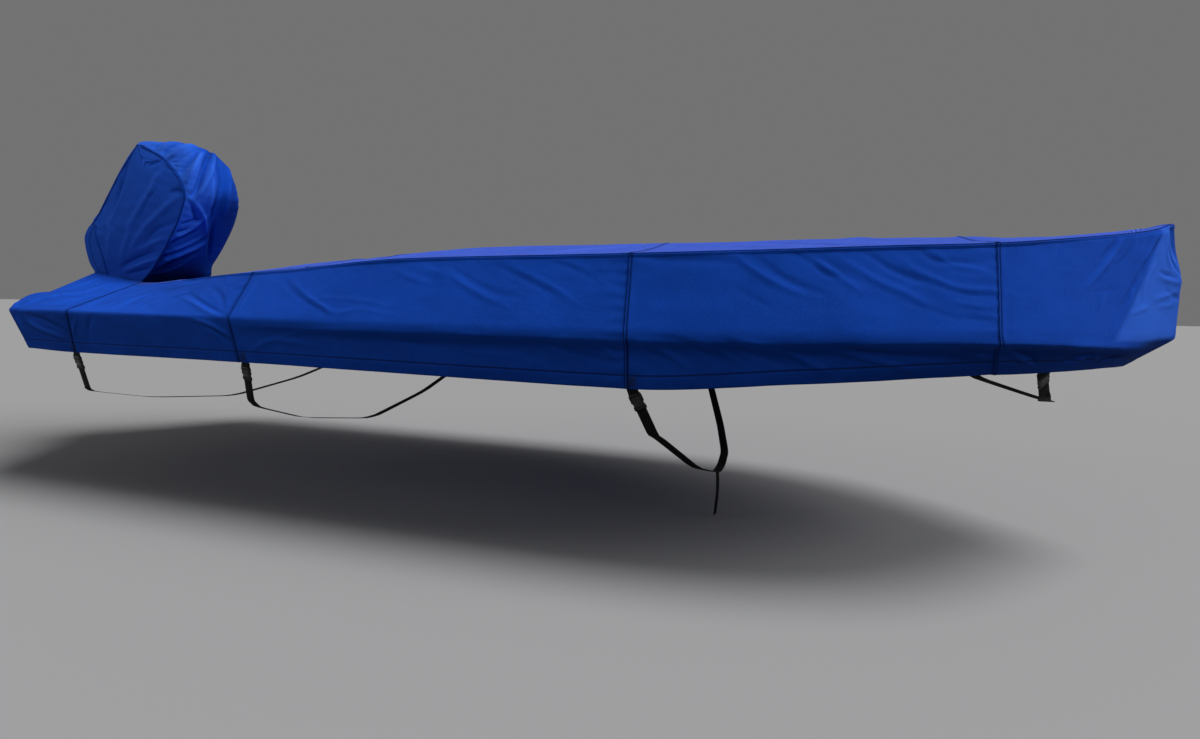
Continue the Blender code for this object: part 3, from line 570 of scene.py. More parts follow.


# folds given one by one: places on the panel, half-width and height in millimetres
sideFolds = {
    "stern": [
        (((.03, .01), (.21, .05), (.38, .31), (.59, .51), (.59, .84)), 22, 9),
        (((.38, .07), (.29, .28), (.58, .33), (.82, .45), (.81, .68)), 12, -8),
        (((.57, .06), (.72, .17), (.81, .34), (.88, .57)), 14, 7),
        (((.35, .03), (.62, .07), (.84, .12), (.88, .25)), 10, -6),
        (((.11, .45), (.24, .64), (.22, .95)), 16, 8),
        (((.28, .44), (.43, .59), (.52, .89), (.70, 1)), 11, -6),
        (((.02, .10), (.04, .05), (.04, .01)), 20, 10),
        (((.08, -.17), (.09, -.44), (.10, -.74)), 14, 6),
        (((.23, -.28), (.44, -.46), (.89, -.68)), 16, 7),
        (((.25, -.11), (.57, -.25), (.89, -.47)), 12, -6),
    ],
    "aft": [
        (((.16, .06), (.20, .24), (.27, .53), (.41, .70), (.56, .79)), 14, -9),
        (((.26, .05), (.30, .29), (.39, .55), (.56, .76), (.69, .86)), 16, 10),
        (((.34, .04), (.41, .25), (.48, .49), (.54, .68)), 12, -9),
        (((.40, .01), (.47, .20), (.57, .40), (.67, .61)), 16, 8),
        (((.49, .26), (.59, .42), (.69, .56)), 12, -6),
        (((.07, .03), (.06, .20), (.07, .50), (.14, .71)), 18, 7),
        (((.62, .50), (.78, .25), (.87, .10), (.96, .01)), 16, 7),
        (((.67, .56), (.85, .23), (.96, .06)), 10, -6),
        (((.80, .71), (.89, .46), (.95, .15)), 18, -5),
        (((.06, -.17), (.02, -.47), (.01, -.66)), 12, 6),
        (((.19, 0), (.13, -.35), (.13, -.64)), 16, -5),
        (((.79, -.07), (.89, -.19), (.99, -.46)), 14, 6),
        (((.83, -.17), (.91, -.35), (.97, -.55)), 12, -5),
    ],
    "mid": [
        (((.01, .01), (.02, .36), (.02, .79)), 14, 6),
        (((.10, .81), (.17, .46), (.29, .09)), 16, -7),
        (((.12, .81), (.21, .42), (.30, .16), (.36, .20)), 14, 7),
        (((.20, .42), (.27, .24), (.30, .06)), 8, 5),
        (((.30, .06), (.36, .21), (.48, .11)), 9, 5),
        (((.19, .36), (.27, .40), (.38, .34), (.47, .23)), 12, 4),
        (((.43, .86), (.48, .70), (.53, .60)), 10, 6),
        (((.47, .85), (.52, .71), (.57, .60)), 9, -4),
        (((.51, .85), (.56, .75), (.59, .61)), 10, 5),
        (((.56, .84), (.62, .60), (.68, .42), (.74, .28)), 16, 8),
        (((.58, .84), (.65, .62), (.71, .47), (.78, .39)), 14, -6),
        (((.69, .88), (.74, .74), (.81, .56), (.84, .44)), 16, -6),
        (((.72, .88), (.79, .68), (.86, .47), (.89, .31)), 16, 6),
        (((.82, .91), (.89, .78), (.96, .56)), 16, -6),
        (((.86, .91), (.92, .71), (.98, .45)), 14, 5),
        (((.51, -.15), (.59, -.11), (.72, -.16)), 7, 4),
        (((.07, -.56), (.21, -.25), (.33, -.17), (.42, -.17)), 10, 4),
        (((.03, -.79), (.12, -.47), (.26, -.55)), 18, 5),
        (((.37, -.24), (.53, -.38), (.68, -.50)), 18, -5),
        (((.54, -.38), (.67, -.50), (.78, -.55)), 14, 4),
        (((.81, -.21), (.89, -.41), (.98, -.55)), 18, -5),
        (((.91, -.19), (.96, -.39), (1, -.70)), 14, 5),
    ],
    "fore": [
        (((.02, .94), (.12, .90), (.23, .88), (.29, .85)), 20, -7),
        (((.29, .93), (.35, .74), (.42, .56), (.49, .44)), 14, 9),
        (((.34, .94), (.41, .70), (.47, .56), (.56, .41)), 15, -7),
        (((.30, .56), (.35, .41), (.40, .30)), 16, -4),
        (((.44, .95), (.49, .86), (.54, .69), (.61, .62)), 16, -9),
        (((.46, .94), (.53, .78), (.59, .61), (.64, .45)), 14, 8),
        (((.50, .94), (.57, .74), (.60, .65)), 12, -7),
        (((.55, .94), (.62, .74), (.69, .56), (.76, .44), (.83, .24)), 15, 9),
        (((.64, .94), (.70, .76), (.77, .62), (.81, .59)), 16, -10),
        (((.72, .91), (.78, .70), (.84, .59), (.89, .50), (.99, .46)), 14, 9),
        (((.81, .57), (.89, .46), (.93, .42), (.99, .42)), 7, -8),
        (((.79, .94), (.83, .82), (.90, .79), (.99, .76)), 15, -10),
        (((.81, .96), (.87, .79), (.93, .71), (.99, .64)), 13, 8),
        (((.72, .39), (.81, .28), (.88, .17), (.99, .14)), 14, -5),
        (((.86, .38), (.93, .30), (.99, .26)), 10, 6),
        (((.90, .20), (.94, .16), (.99, .16)), 9, -6),
        (((.03, -.15), (.11, -.35), (.19, -.66)), 14, 8),
        (((.07, -.06), (.18, -.19), (.27, -.55)), 16, -6),
        (((.30, -.07), (.42, -.30), (.50, -.55), (.56, -.79)), 14, 8),
        (((.27, -.10), (.34, -.33), (.46, -.64)), 14, -7),
        (((.20, -.11), (.27, -.33), (.33, -.61)), 12, 5),
        (((.53, -.26), (.63, -.46), (.71, -.64), (.80, -.84)), 13, 7),
        (((.49, -.19), (.61, -.28), (.77, -.47), (.92, -.62)), 16, -7),
        (((.84, -.29), (.92, -.47), (1, -.71)), 12, 6),
    ],
    "bow": [
        (((.69, .97), (.62, .77), (.57, .55), (.53, .35), (.49, .08)), 11, 9),
        (((.66, .97), (.59, .75), (.53, .50), (.47, .22)), 9, -11),
        (((.71, .96), (.63, .79), (.58, .64), (.56, .45)), 13, -13),
        (((.66, .97), (.59, .80), (.56, .64), (.53, .47)), 12, 9),
        (((.54, .44), (.54, .30), (.53, .20), (.53, .07)), 6, -8),
        (((.52, .50), (.52, .38), (.51, .21)), 10, 5),
        (((.66, .68), (.61, .51), (.61, .34)), 14, 6),
        (((.42, .97), (.40, .82), (.35, .62), (.29, .42)), 18, 8),
        (((.40, .96), (.38, .85), (.34, .72)), 14, -6),
        (((.47, .95), (.46, .78), (.41, .65)), 12, -5),
        (((.54, .94), (.53, .82), (.51, .66)), 9, 5),
        (((.82, .89), (.88, .76), (.93, .65), (1, .53)), 13, -13),
        (((.79, .88), (.82, .72), (.89, .60)), 16, 7),
        (((.72, .60), (.83, .56), (.94, .53)), 8, -8),
        (((.74, .55), (.86, .51), (.99, .49)), 10, 7),
        (((.83, .42), (.91, .39), (.99, .36)), 8, -8),
        (((.72, .34), (.84, .38), (.96, .42)), 14, 6),
        (((.76, .28), (.86, .29), (.97, .31)), 10, 4),
        (((.54, .20), (.61, .25), (.69, .28)), 12, 5),
        (((.33, .42), (.39, .44), (.44, .44)), 6, -3),
        (((.38, .23), (.38, .31), (.39, .40)), 16, 4),
        (((.21, -.81), (.23, -.61), (.24, -.44)), 10, 7),
        (((.28, -.78), (.38, -.59), (.56, -.29)), 10, 8),
        (((.26, -.79), (.32, -.59), (.42, -.42)), 9, -6),
        (((.36, -.80), (.47, -.59), (.66, -.40)), 9, 7),
        (((.41, -.81), (.55, -.62), (.75, -.34)), 10, -7),
        (((.03, -.40), (.07, -.55), (.14, -.80)), 12, 7),
        (((.05, -.34), (.12, -.51), (.16, -.74)), 10, -6),
        (((.85, -.23), (.93, -.11), (.99, 0)), 9, -5),
    ],
}
hoodSideFolds = [
    (((.90, .91), (.84, .72), (.82, .57), (.74, .40)), 26, -9),
    (((.68, .13), (.68, .31), (.78, .52), (.77, .68)), 24, 8),
    (((.49, .11), (.45, .29), (.47, .49), (.34, .66), (.17, .72)), 26, 9),
    (((.42, .43), (.41, .54), (.33, .61)), 10, -5),
    (((.38, .17), (.33, .31), (.26, .44), (.14, .53), (.03, .57)), 24, 8),
    (((.47, .08), (.29, .16), (.08, .23)), 16, -9),
    (((.39, .06), (.15, .14), (.01, .19)), 14, 9),
    (((.34, .04), (.14, .09), (.03, .12)), 12, -7),
    (((.30, .21), (.17, .27), (.03, .33)), 18, 7),
    (((.24, .23), (.19, .36), (.02, .42)), 20, -5),
    (((.39, .78), (.21, .79), (.09, .80)), 14, -8),
    (((.17, .59), (.07, .60), (.01, .58)), 14, -8),
]
crownFolds = [
    (((.93, -1), (.93, -.64), (.97, .23)), 16, -8),
    (((.85, -1), (.85, -.75), (.85, -.42), (.87, .17)), 18, -16),
    (((.80, -1), (.79, -.84), (.80, -.46), (.81, -.11)), 16, 10),
    (((.75, -1), (.76, -.65), (.80, -.05)), 10, -6),
    (((.69, -1), (.72, -.76), (.77, -.23)), 16, -12),
    (((.64, -.95), (.69, -.69), (.76, -.25)), 18, 14),
    (((.57, -.89), (.63, -.71), (.69, -.41), (.82, .49)), 16, -22),
    (((.57, -.76), (.63, -.50), (.70, -.09), (.81, .56)), 14, 12),
    (((.81, .50), (.69, .06), (.62, -.07), (.55, -.20), (.48, -.10)), 9, -9),
    (((.69, -.24), (.61, -.35), (.52, -.35)), 20, 6),
    (((.75, .78), (.62, .31), (.49, .29)), 26, 7),
    (((.75, .72), (.69, .91), (.60, .79), (.51, .80)), 10, -8),
    (((.55, -.82), (.51, -.51), (.45, -.20), (.39, -.01)), 14, 8),
    (((.54, -.89), (.49, -.68), (.45, -.54)), 14, -8),
    (((.42, -.90), (.44, -.70), (.47, -.40)), 11, -9),
    (((.32, -1), (.38, -.71), (.44, -.46), (.51, -.26)), 16, 10),
    (((.36, -.97), (.39, -.74), (.42, -.54)), 10, -8),
    (((.22, -1), (.29, -.93), (.35, -.64), (.41, -.29)), 14, -9),
    (((.21, -1), (.26, -.76), (.32, -.36), (.37, -.05)), 14, 10),
    (((.16, -1), (.24, -.80), (.31, -.29), (.37, .11)), 12, -10),
    (((.06, -1), (.18, -.85), (.24, -.51), (.29, -.12), (.34, .20)), 16, 14),
    (((.09, -.99), (.16, -.65), (.22, -.25), (.27, .10)), 14, -10),
    (((.07, -.97), (.12, -.46), (.18, -.17), (.24, .10)), 12, 9),
    (((.47, .06), (.36, .28), (.22, .61)), 16, -8),
]

clothLooks = {
    # fadedlit: partly sun fading, partly painted light on faces turned up; pale: painted light only
    "cover_cloth": {"colour": (.0024, .0425, .298), "fadedlit": (.0112, .0970, .672),
                    "thread": (.0010, .006, .040), "pale": (.0480, .2000, .990)},
    # top_cloth's lighter, whiter colours are partly its own colour, partly painted light from above and
    # painted sheen at the grazing view
    "top_cloth": {"colour": (.0330, .0890, .550), "fadedlit": (.0710, .1440, .750),
                  "thread": (.006, .014, .060), "pale": (.1220, .2100, .980)},
    "shine": {"Specular IOR Level": .012, "Sheen Weight": .02, "Sheen Roughness": .45,
              "Sheen Tint": (.55, .70, 1, 1)},
    "roughness": .82,
    "roughnessRange": (-.05, .06),
    "weave": .0014,          # pitch of the cloth's threads
    "ribs": .0078,           # pitch of its faint diagonal ribs
    "ribTone": .70,          # how dark the hollows between them look
    "ribPatches": (9, .30, .62, (.25, 1)),      # scale and range of the patches in which the ribs show
    "heights": {"threads": .30, "ribs": .35, "crumple": 1.9},      # each one's share of the bump
    "crumple": (70, 3, .6),  # scale, detail and roughness of the cloth's fine crumple
    "bump": (.75, .0011),    # strength and distance
    # how far the seams' tone darkens toward the thread colour, for the seams and for painted shade
    "seamAndShadeDark": .85,
}
wearAndLightLooks = {
    "upward": (-.28, .10),   # how far a face has to turn up to be paler: partly sun fading, partly painted light from above
    # how much paler a face turned up gets: partly sun fading, partly painted light
    "fade": .80,
    "blotches": (4.5, 4, .6),          # scale, detail and roughness
    "blotchFade": (.35, .75, (-.08, .22)),     # the noise's range, and how much more faded that makes it
    "speckle": (60, 3, .65),
    "speckleRange": (.3, .7),
    "speckleFade": (-.06, .06),
}
threadLooks = {"colours": {"thread": (.005, .018, .075), "dark_thread": (.010, .013, .022)},
               "roughness": .7, "shine": .25}
webbingLooks = {
    "colour": (.0022, .0024, .0030), "worn": (.010, .011, .014), "roughness": .72, "shine": .10,
    "ribs": .0022, "ribsAcross": 1.3, "middle": .019, "bump": (.6, .0006),
    "edgeWear": (.014, .019, (0, .35)), "patches": (25, 3), "patchWear": (.45, .8, (0, .35)),
}
plasticLooks = {
    "colour": (.0035, .0036, .0040), "roughness": .48, "shine": .35,
    "grain": 900, "bump": (.25, .0002), "patches": 40, "patchRoughness": (.3, .7, (.40, .56)),
}


def newGroup(name, inputs, outputs):
    group = bpy.data.node_groups.new(name, "ShaderNodeTree")
    for way, sockets in (("INPUT", inputs), ("OUTPUT", outputs)):
        for label, kind in sockets:
            group.interface.new_socket(label, in_out=way, socket_type="NodeSocket" + kind)
    return group, group.nodes.new("NodeGroupInput"), group.nodes.new("NodeGroupOutput")


def mathNode(tree, kind, first, second=None, clamp=False):
    node = tree.nodes.new("ShaderNodeMath")
    node.operation, node.use_clamp = kind, clamp
    for socket, value in zip(node.inputs, (first, second)):
        if isinstance(value, (int, float)):
            socket.default_value = value
        elif value is not None:
            tree.links.new(value, socket)
    return node.outputs[0]


def mixColours(tree, share, first, second):
    node = tree.nodes.new("ShaderNodeMix")
    node.data_type = "RGBA"
    for socket, value in ((node.inputs[0], share), (node.inputs[6], first), (node.inputs[7], second)):
        if isinstance(value, (int, float)):
            socket.default_value = value
        elif isinstance(value, tuple):
            socket.default_value = (*value, 1)
        else:
            tree.links.new(value, socket)
    return node.outputs[2]


def rangeNode(tree, value, low, high, out=(0, 1)):
    node = tree.nodes.new("ShaderNodeMapRange")
    tree.links.new(value, node.inputs[0])
    for k, number in enumerate((low, high, *out)):
        node.inputs[k + 1].default_value = number
    return node.outputs[0]


def noiseNode(tree, place, scale, detail=2.0, rough=.5):
    node = tree.nodes.new("ShaderNodeTexNoise")
    tree.links.new(place, node.inputs["Vector"])
    node.inputs["Scale"].default_value, node.inputs["Detail"].default_value = scale, detail
    node.inputs["Roughness"].default_value = rough
    return node.outputs["Fac"]


def cutPlaces(tree):
    # the distances along and across the cut cloth, in metres
    places = tree.nodes.new("ShaderNodeUVMap")
    places.uv_map = "cut"
    parts = tree.nodes.new("ShaderNodeSeparateXYZ")
    tree.links.new(places.outputs[0], parts.inputs[0])
    return places.outputs[0], parts.outputs[0], parts.outputs[1]


def objectPlaces(tree):
    return tree.nodes.new("ShaderNodeTexCoord").outputs["Object"]


def wave(tree, value, pitch):
    return mathNode(tree, "SINE", mathNode(tree, "MULTIPLY", value, 2 * math.pi / pitch))


def bumpNode(tree, height, strength, distance):
    node = tree.nodes.new("ShaderNodeBump")
    node.inputs["Strength"].default_value, node.inputs["Distance"].default_value = strength, distance
    tree.links.new(height, node.inputs["Height"])
    return node.outputs[0]


def linkAll(tree, node, values):
    for key, value in values.items():
        tree.links.new(value, node.inputs[key])


def makeWeaveGroup():
    # a twill: crossed threads with faint diagonal ribs, as a height and a bumped normal
    group, _, end = newGroup("clothWeave", [], [("Ribs", "Float"), ("Normal", "Vector")])
    place, u, v = cutPlaces(group)
    pitch, heights = clothLooks["weave"], clothLooks["heights"]
    threads = mathNode(group, "MULTIPLY", wave(group, u, pitch), wave(group, v, pitch))
    ribs = wave(group, mathNode(group, "ADD", u, v), clothLooks["ribs"])
    scale, *patchRange = clothLooks["ribPatches"]
    patchy = rangeNode(group, noiseNode(group, place, scale), *patchRange)
    ribs = mathNode(group, "MULTIPLY", ribs, patchy)
    height = mathNode(group, "ADD", mathNode(group, "MULTIPLY", threads, heights["threads"]),
                      mathNode(group, "MULTIPLY", ribs, heights["ribs"]))
    crumple = noiseNode(group, place, *clothLooks["crumple"])
    height = mathNode(group, "ADD", height, mathNode(group, "MULTIPLY", crumple, heights["crumple"]))
    bump = bumpNode(group, height, *clothLooks["bump"])
    linkAll(group, end, {"Ribs": rangeNode(group, ribs, -1, 1), "Normal": bump})
    return group


def makeWearAndLightGroup():
    # faces turned up are paler, partly sun fading and partly painted light from above; dirt and thread
    # darken the seams, and the seams' tone also carries painted shade and painted light
    colours = ("Colour", "FadedLit", "Thread", "Pale")
    group, start, end = newGroup("clothWearAndLight", [(key, "Color") for key in colours] + [("Ribs", "Float")],
                                 [("Colour", "Color"), ("Roughness", "Float")])
    base, fadedlit, thread, pale = (start.outputs[key] for key in colours)
    place = objectPlaces(group)
    facing = group.nodes.new("ShaderNodeNewGeometry")
    parts = group.nodes.new("ShaderNodeSeparateXYZ")
    group.links.new(facing.outputs["Normal"], parts.inputs[0])
    # painted light from above, partly sun fading: faces turned up are paler
    upward = rangeNode(group, parts.outputs[2], *wearAndLightLooks["upward"])
    blotches = noiseNode(group, place, *wearAndLightLooks["blotches"])
    speckle = noiseNode(group, place, *wearAndLightLooks["speckle"])
    fade = mathNode(group, "ADD", mathNode(group, "MULTIPLY", upward, wearAndLightLooks["fade"]),
                    rangeNode(group, blotches, *wearAndLightLooks["blotchFade"]))
    fade = mathNode(group, "ADD", fade,
                    rangeNode(group, speckle, *wearAndLightLooks["speckleRange"], wearAndLightLooks["speckleFade"]), True)
    colour = mixColours(group, fade, base, fadedlit)
    # the seams' tone: seam lines and rows, plus painted shade in troughs and shaded places, and painted
    # light below 0
    tone = group.nodes.new("ShaderNodeAttribute")
    tone.attribute_name = "seamAndShadeTone"
    # painted light: tone below 0 mixes toward the pale colour
    paintedLight = mathNode(group, "MULTIPLY", tone.outputs["Fac"], -1, True)
    colour = mixColours(group, paintedLight, colour, pale)
    ribs = mathNode(group, "MULTIPLY", start.outputs["Ribs"], clothLooks["ribTone"])
    colour = mixColours(group, ribs, colour, thread)
    # dark seams, and painted shade, mixed toward the thread colour
    dark = mathNode(group, "MULTIPLY", tone.outputs["Fac"], clothLooks["seamAndShadeDark"])
    colour = mixColours(group, dark, colour, thread)
    rough = rangeNode(group, speckle, *wearAndLightLooks["speckleRange"],
                      [clothLooks["roughness"] + more for more in clothLooks["roughnessRange"]])
    linkAll(group, end, {"Colour": colour, "Roughness": rough})
    return group


def makeWebbingGroup():
    # ribbed polyester webbing with a herringbone face and paler wear on its edges
    group, _, end = newGroup("webbingWeave", [], [("Colour", "Color"), ("Normal", "Vector")])
    place, u, v = cutPlaces(group)
    across = mathNode(group, "ABSOLUTE", mathNode(group, "SUBTRACT", v, webbingLooks["middle"]))
    slant = mathNode(group, "ADD", u, across)
    ribs = mathNode(group, "MULTIPLY", wave(group, slant, webbingLooks["ribs"]),
                    wave(group, v, webbingLooks["ribs"] * webbingLooks["ribsAcross"]))
    bump = bumpNode(group, ribs, *webbingLooks["bump"])
    edges = rangeNode(group, across, *webbingLooks["edgeWear"])
    patches = noiseNode(group, place, *webbingLooks["patches"])
    patches = rangeNode(group, patches, *webbingLooks["patchWear"])
    worn = mathNode(group, "ADD", edges, patches, True)
    colour = mixColours(group, worn, webbingLooks["colour"], webbingLooks["worn"])
    linkAll(group, end, {"Colour": colour, "Normal": bump})
    return group


def makePlasticGroup():
    # fine moulded grain
    group, _, end = newGroup("mouldedGrain", [], [("Roughness", "Float"), ("Normal", "Vector")])
    place = objectPlaces(group)
    bump = bumpNode(group, noiseNode(group, place, plasticLooks["grain"]), *plasticLooks["bump"])
    patches = noiseNode(group, place, plasticLooks["patches"])
    rough = rangeNode(group, patches, *plasticLooks["patchRoughness"])
    linkAll(group, end, {"Roughness": rough, "Normal": bump})
    return group


def newMaterial(name, colour, roughness, values):
    material = bpy.data.materials.new(name)
    material.use_nodes = True
    material.diffuse_color = (*colour, 1)
    shader = material.node_tree.nodes["Principled BSDF"]
    shader.inputs["Base Color"].default_value = (*colour, 1)
    shader.inputs["Roughness"].default_value = roughness
    for key, value in values.items():
        shader.inputs[key].default_value = value
    return material, shader


def useGroup(material, group):
    node = material.node_tree.nodes.new("ShaderNodeGroup")
    node.node_tree = group
    return node


def makeClothMaterial(slotName, weave, wearAndLight):
    look = clothLooks[slotName]
    material, shader = newMaterial(slotName + "_woven", look["colour"], clothLooks["roughness"],
                                   clothLooks["shine"])
    # the wear-and-light group paints light and shade as well as wear
    woven, worn = useGroup(material, weave), useGroup(material, wearAndLight)
    for key in ("Colour", "FadedLit", "Thread", "Pale"):
        worn.inputs[key].default_value = (*look[key.lower()], 1)
    linkAll(material.node_tree, worn, {"Ribs": woven.outputs["Ribs"]})
    linkAll(material.node_tree, shader, {"Base Color": worn.outputs["Colour"],
                                         "Roughness": worn.outputs["Roughness"],
                                         "Normal": woven.outputs["Normal"]})
    return material


def makeGroupMaterial(name, looks, group, ways):
    # ways: the shader's socket, then the group's
    material, shader = newMaterial(name, looks["colour"], looks["roughness"],
                                   {"Specular IOR Level": looks["shine"]})
    node = useGroup(material, group)
    linkAll(material.node_tree, shader, {key: node.outputs[way] for key, way in ways.items()})
    return material


def makeMaterials():
    weave, wearAndLight = makeWeaveGroup(), makeWearAndLightGroup()
    made = {name: makeClothMaterial(name, weave, wearAndLight) for name in ("cover_cloth", "top_cloth")}
    for name, colour in threadLooks["colours"].items():
        made[name] = newMaterial(name, colour, threadLooks["roughness"],
                                 {"Specular IOR Level": threadLooks["shine"]})[0]
    made["webbing"] = makeGroupMaterial("webbing_woven", webbingLooks, makeWebbingGroup(),
                                        {"Base Color": "Colour", "Normal": "Normal"})
    made["buckle_plastic"] = makeGroupMaterial("buckle_moulded", plasticLooks, makePlasticGroup(),
                                               {"Roughness": "Roughness", "Normal": "Normal"})
    return made


materials = makeMaterials()
print("materials made")

coverSetup = {
    # a place inside each part, from which its cloth faces away
    "middles": {"side": (0, 0, -.35), "top": (0, 0, -1), "hood": (-2.63, 0, .12), "flap": (-2.3, 0, -.3)},
    "seeds": {"side": 100, "top": 200, "hoodSide": 250, "gusset": 260, "flap": 270, "crown": 280,
              "sideOther": 300, "hoodOther": 321},
    "railDrop": .030,          # how far below the knuckle the rub rail ends
    "railTuck": .008,          # how far the cloth tucks in below it
    "railRound": (.040, .020), # over what drop it comes off the rail and tucks in
    "tuckEnd": (.35, .5),      # share of the skirt where the tuck dies out
    "railStart": (-1.3, 1.2),  # where along the hull the rail begins to show, and over what length
    "railEnd": (2.20, .18),
    # painted shade on the skirt and on the side above it, by place along the hull
    "skirtShade": ((-2.5, -1.1, 0, 1.2, 2.4), (.06, .08, .36, .46, .52)),
    "sideShade": ((-2.5, -2.1, -1.2, .3, 1.0, 1.6, 2.1), (.16, .10, 0, .04, .16, .16, .08)),
    "skirtFade": (.012, .050), # the drop at which the skirt's shade begins, and over what drop
    "hoodPale": (.26, .50),    # painted light on the hood's sides and crown
    # width and strength of the listed folds
    "sideFolds": {"stern": (.70, .9), "aft": (.70, .8), "mid": (.62, .42), "fore": (.62, .52),
                  "bow": (.62, .8)},
    "hoodFolds": (.75, .9),
    "crownFolds": (.66, 1.9),
    # how far the far side's folds move, and how much they differ in width and strength
    "otherSide": {"moves": (.05, .04), "widths": (.9, 1.3), "heights": (.6, 1.1), "strength": .9},
    "footShade": (.6, .04, .16),       # painted shade on the top at the hood's foot, and where that ends
    "ridgeSink": (.008, (.04, .14), (.35, .35)),   # how far the ridge sinks over the bow, and where
    "hemTurn": (.045, .8),             # width of the turned hem, and the share of the length that it takes
}
stemSetup = {
    "crease": (.465, .15, .055),       # where along the bow panel the slanting crease lies, by height
    "creaseStart": .1,
    "creaseRise": .020,
    "pale": .75,                       # painted light on the cloth drawn tight beside the stem
    "paleFade": (.06, 12),             # over what width it begins, and how steeply it ends at the knuckle
    "bumps": [(.009, .53, .14), (-.014, .86, .20)],    # (height, place up the stem, spread)
    "reach": .050,
}
# (pitch, depth, reach, seed) of the short gathers below the bow's shoulder, beside a cross seam and
# along the crown's two seams
gatherSetup = {
    "bow": (.016, .0022, .040, 61),
    "side": (.045, .0026, .050, 71),
    "crownLow": (.046, .0040, .050, 81),
    "crownHigh": (.050, .0040, .050, 83),
    "shift": (.35, 4),                 # how far they wander and how slowly
    "sizes": (.7, .5, 2.3),            # the mean size, how much it varies and how slowly
}
crownSetup = {
    "ear": (.12, .78, .060, .055),     # place along and across the crown, reach and height
    "flat": (.042, 1.02, .075),        # how far the apex sinks, its place and spread
    "paleFrom": (.20, .28),            # where up the crown the painted light begins, and over what length
    # strength of the painted light on it, how fast that falls toward port (below 0 it is painted shade), the
    # place that it falls from, and its limits
    "paleAcross": (.45, 1.7, -.25, (-.6, 1.2)),
    "footShade": (.95, .06, .24),      # painted shade at its foot, and where that ends
}


def gathers(along, away, kind):
    # short, close folds square to a seam
    pitch, depth, reach, seed = gatherSetup[kind]
    (far, slow), (mean, more, slower) = gatherSetup["shift"], gatherSetup["sizes"]
    shift = far * softNoise(along / (slow * pitch), np.zeros_like(along), seed)
    size = mean + more * softNoise(along / (slower * pitch), np.full_like(along, 1.5), seed + 1)
    return depth * size * np.sin(2 * math.pi * (along / pitch + shift)) * np.exp(-away / reach)


def skirtLines(bay, grid):
    # the station of each point, its drop below the knuckle, and how much the skirt leans in
    s = bay["aft"] + (bay["fore"] - bay["aft"]) * grid["a"]
    hem, knuckle = frameLine(1, s), frameLine(2, s)
    drop = np.where(grid["b"] < 0, -grid["b"], 0) * np.linalg.norm(hem - knuckle, axis=-1)
    return s, drop, (knuckle[..., 1] - hem[..., 1]) / (knuckle[..., 2] - hem[..., 2])


def rising(x, span):
    # 0 before the span's start, 1 once its length has passed
    start, length = span
    return smoothStep((x - start) / length)


def skirtShade(bay):
    # painted shade on the skirt and the side above it, and painted light beside the stem on the bow
    def shade(grid):
        s, drop, _ = skirtLines(bay, grid)
        below = rising(drop, coverSetup["skirtFade"])
        dark = (np.interp(s, *coverSetup["skirtShade"]) * below
                + np.interp(s, *coverSetup["sideShade"]) * (1 - below))
        if bay["name"] == "bow":
            width, steep = stemSetup["paleFade"]
            past = smoothStep((grid["a"] - stemCrease(grid["b"])) / width)
            dark -= stemSetup["pale"] * past * smoothStep(1 + grid["b"] * steep)
        return dark
    return shade


def stemCrease(up):
    first, second, third = stemSetup["crease"]
    return first + second * up + third * up**2


def skirtForm(bay):
    # the cloth runs straight down over the hull's rub rail, then tucks in below it
    def form(grid):
        s, drop, lean = skirtLines(bay, grid)
        below = drop - coverSetup["railDrop"]
        off, under = coverSetup["railRound"]
        straight = lean * np.minimum(drop, coverSetup["railDrop"]) * (1 - smoothStep(below / off))
        tuck = smoothStep(below / under) * (1 - rising(-grid["b"], coverSetup["tuckEnd"]))
        ends = rising(s, coverSetup["railStart"]) * (1 - rising(s, coverSetup["railEnd"]))
        return ends * (straight - coverSetup["railTuck"] * tuck)
    return form


def skirtShape(bay):
    def shape(grid):
        if bay["name"] == "bow":
            return gathers(grid["aft"], grid["high"], "bow") + stemShape(grid)
        return gathers(grid["low"], grid["fore"], "side") if bay["name"] in ("fore", "mid") else 0
    return shape


def stemShape(grid):
    # the stem is drawn in below its tip and pushed out half-way down, by what it is stretched over
    near = np.exp(-(grid["fore"] / stemSetup["reach"])**2)
    up, start = grid["b"], stemSetup["creaseStart"]
    bump = sum(height * np.exp(-((up - place) / spread)**2) for height, place, spread in stemSetup["bumps"])
    ridge = stemCrease(np.maximum(up, 0))
    rise = np.minimum((grid["a"] - start) / (ridge - start), (1 - grid["a"]) / (1 - ridge))
    crease = stemSetup["creaseRise"] * np.clip(rise, 0, 1) * np.clip(1 + up, 0, 1)
    return near * bump + crease


def crownShape(grid):
    # a soft ear of slack cloth at the port foot of the crown, and a flatter apex
    q, c, reach, height = crownSetup["ear"]
    spot = crownPoint(np.array(q), np.array(c))
    away = np.linalg.norm(crownPoint(grid["a"], grid["b"]) - spot, axis=-1)
    deep, place, spread = crownSetup["flat"]
    flat = -deep * np.exp(-((grid["a"] - place) / spread)**2) * (1 - grid["b"]**2)
    return (height * np.exp(-(away / reach)**2) + flat + gathers(grid["aft"], grid["low"], "crownLow")
            + gathers(grid["aft"], grid["high"], "crownHigh"))


def crownShade(grid):
    # painted light toward the crown's top and its starboard side, painted shade toward port and at its foot
    most, slope, middle, limits = crownSetup["paleAcross"]
    above = rising(grid["a"], crownSetup["paleFrom"]) * np.clip(most - slope * (grid["b"] - middle), *limits)
    dark, *foot = crownSetup["footShade"]
    return dark * (1 - rising(grid["a"], foot)) - coverSetup["hoodPale"][1] * above


def footShade(grid):
    # painted shade on the top panel where it meets the hood's foot
    dark, *foot = coverSetup["footShade"]
    return dark * (1 - rising(grid["a"], foot))


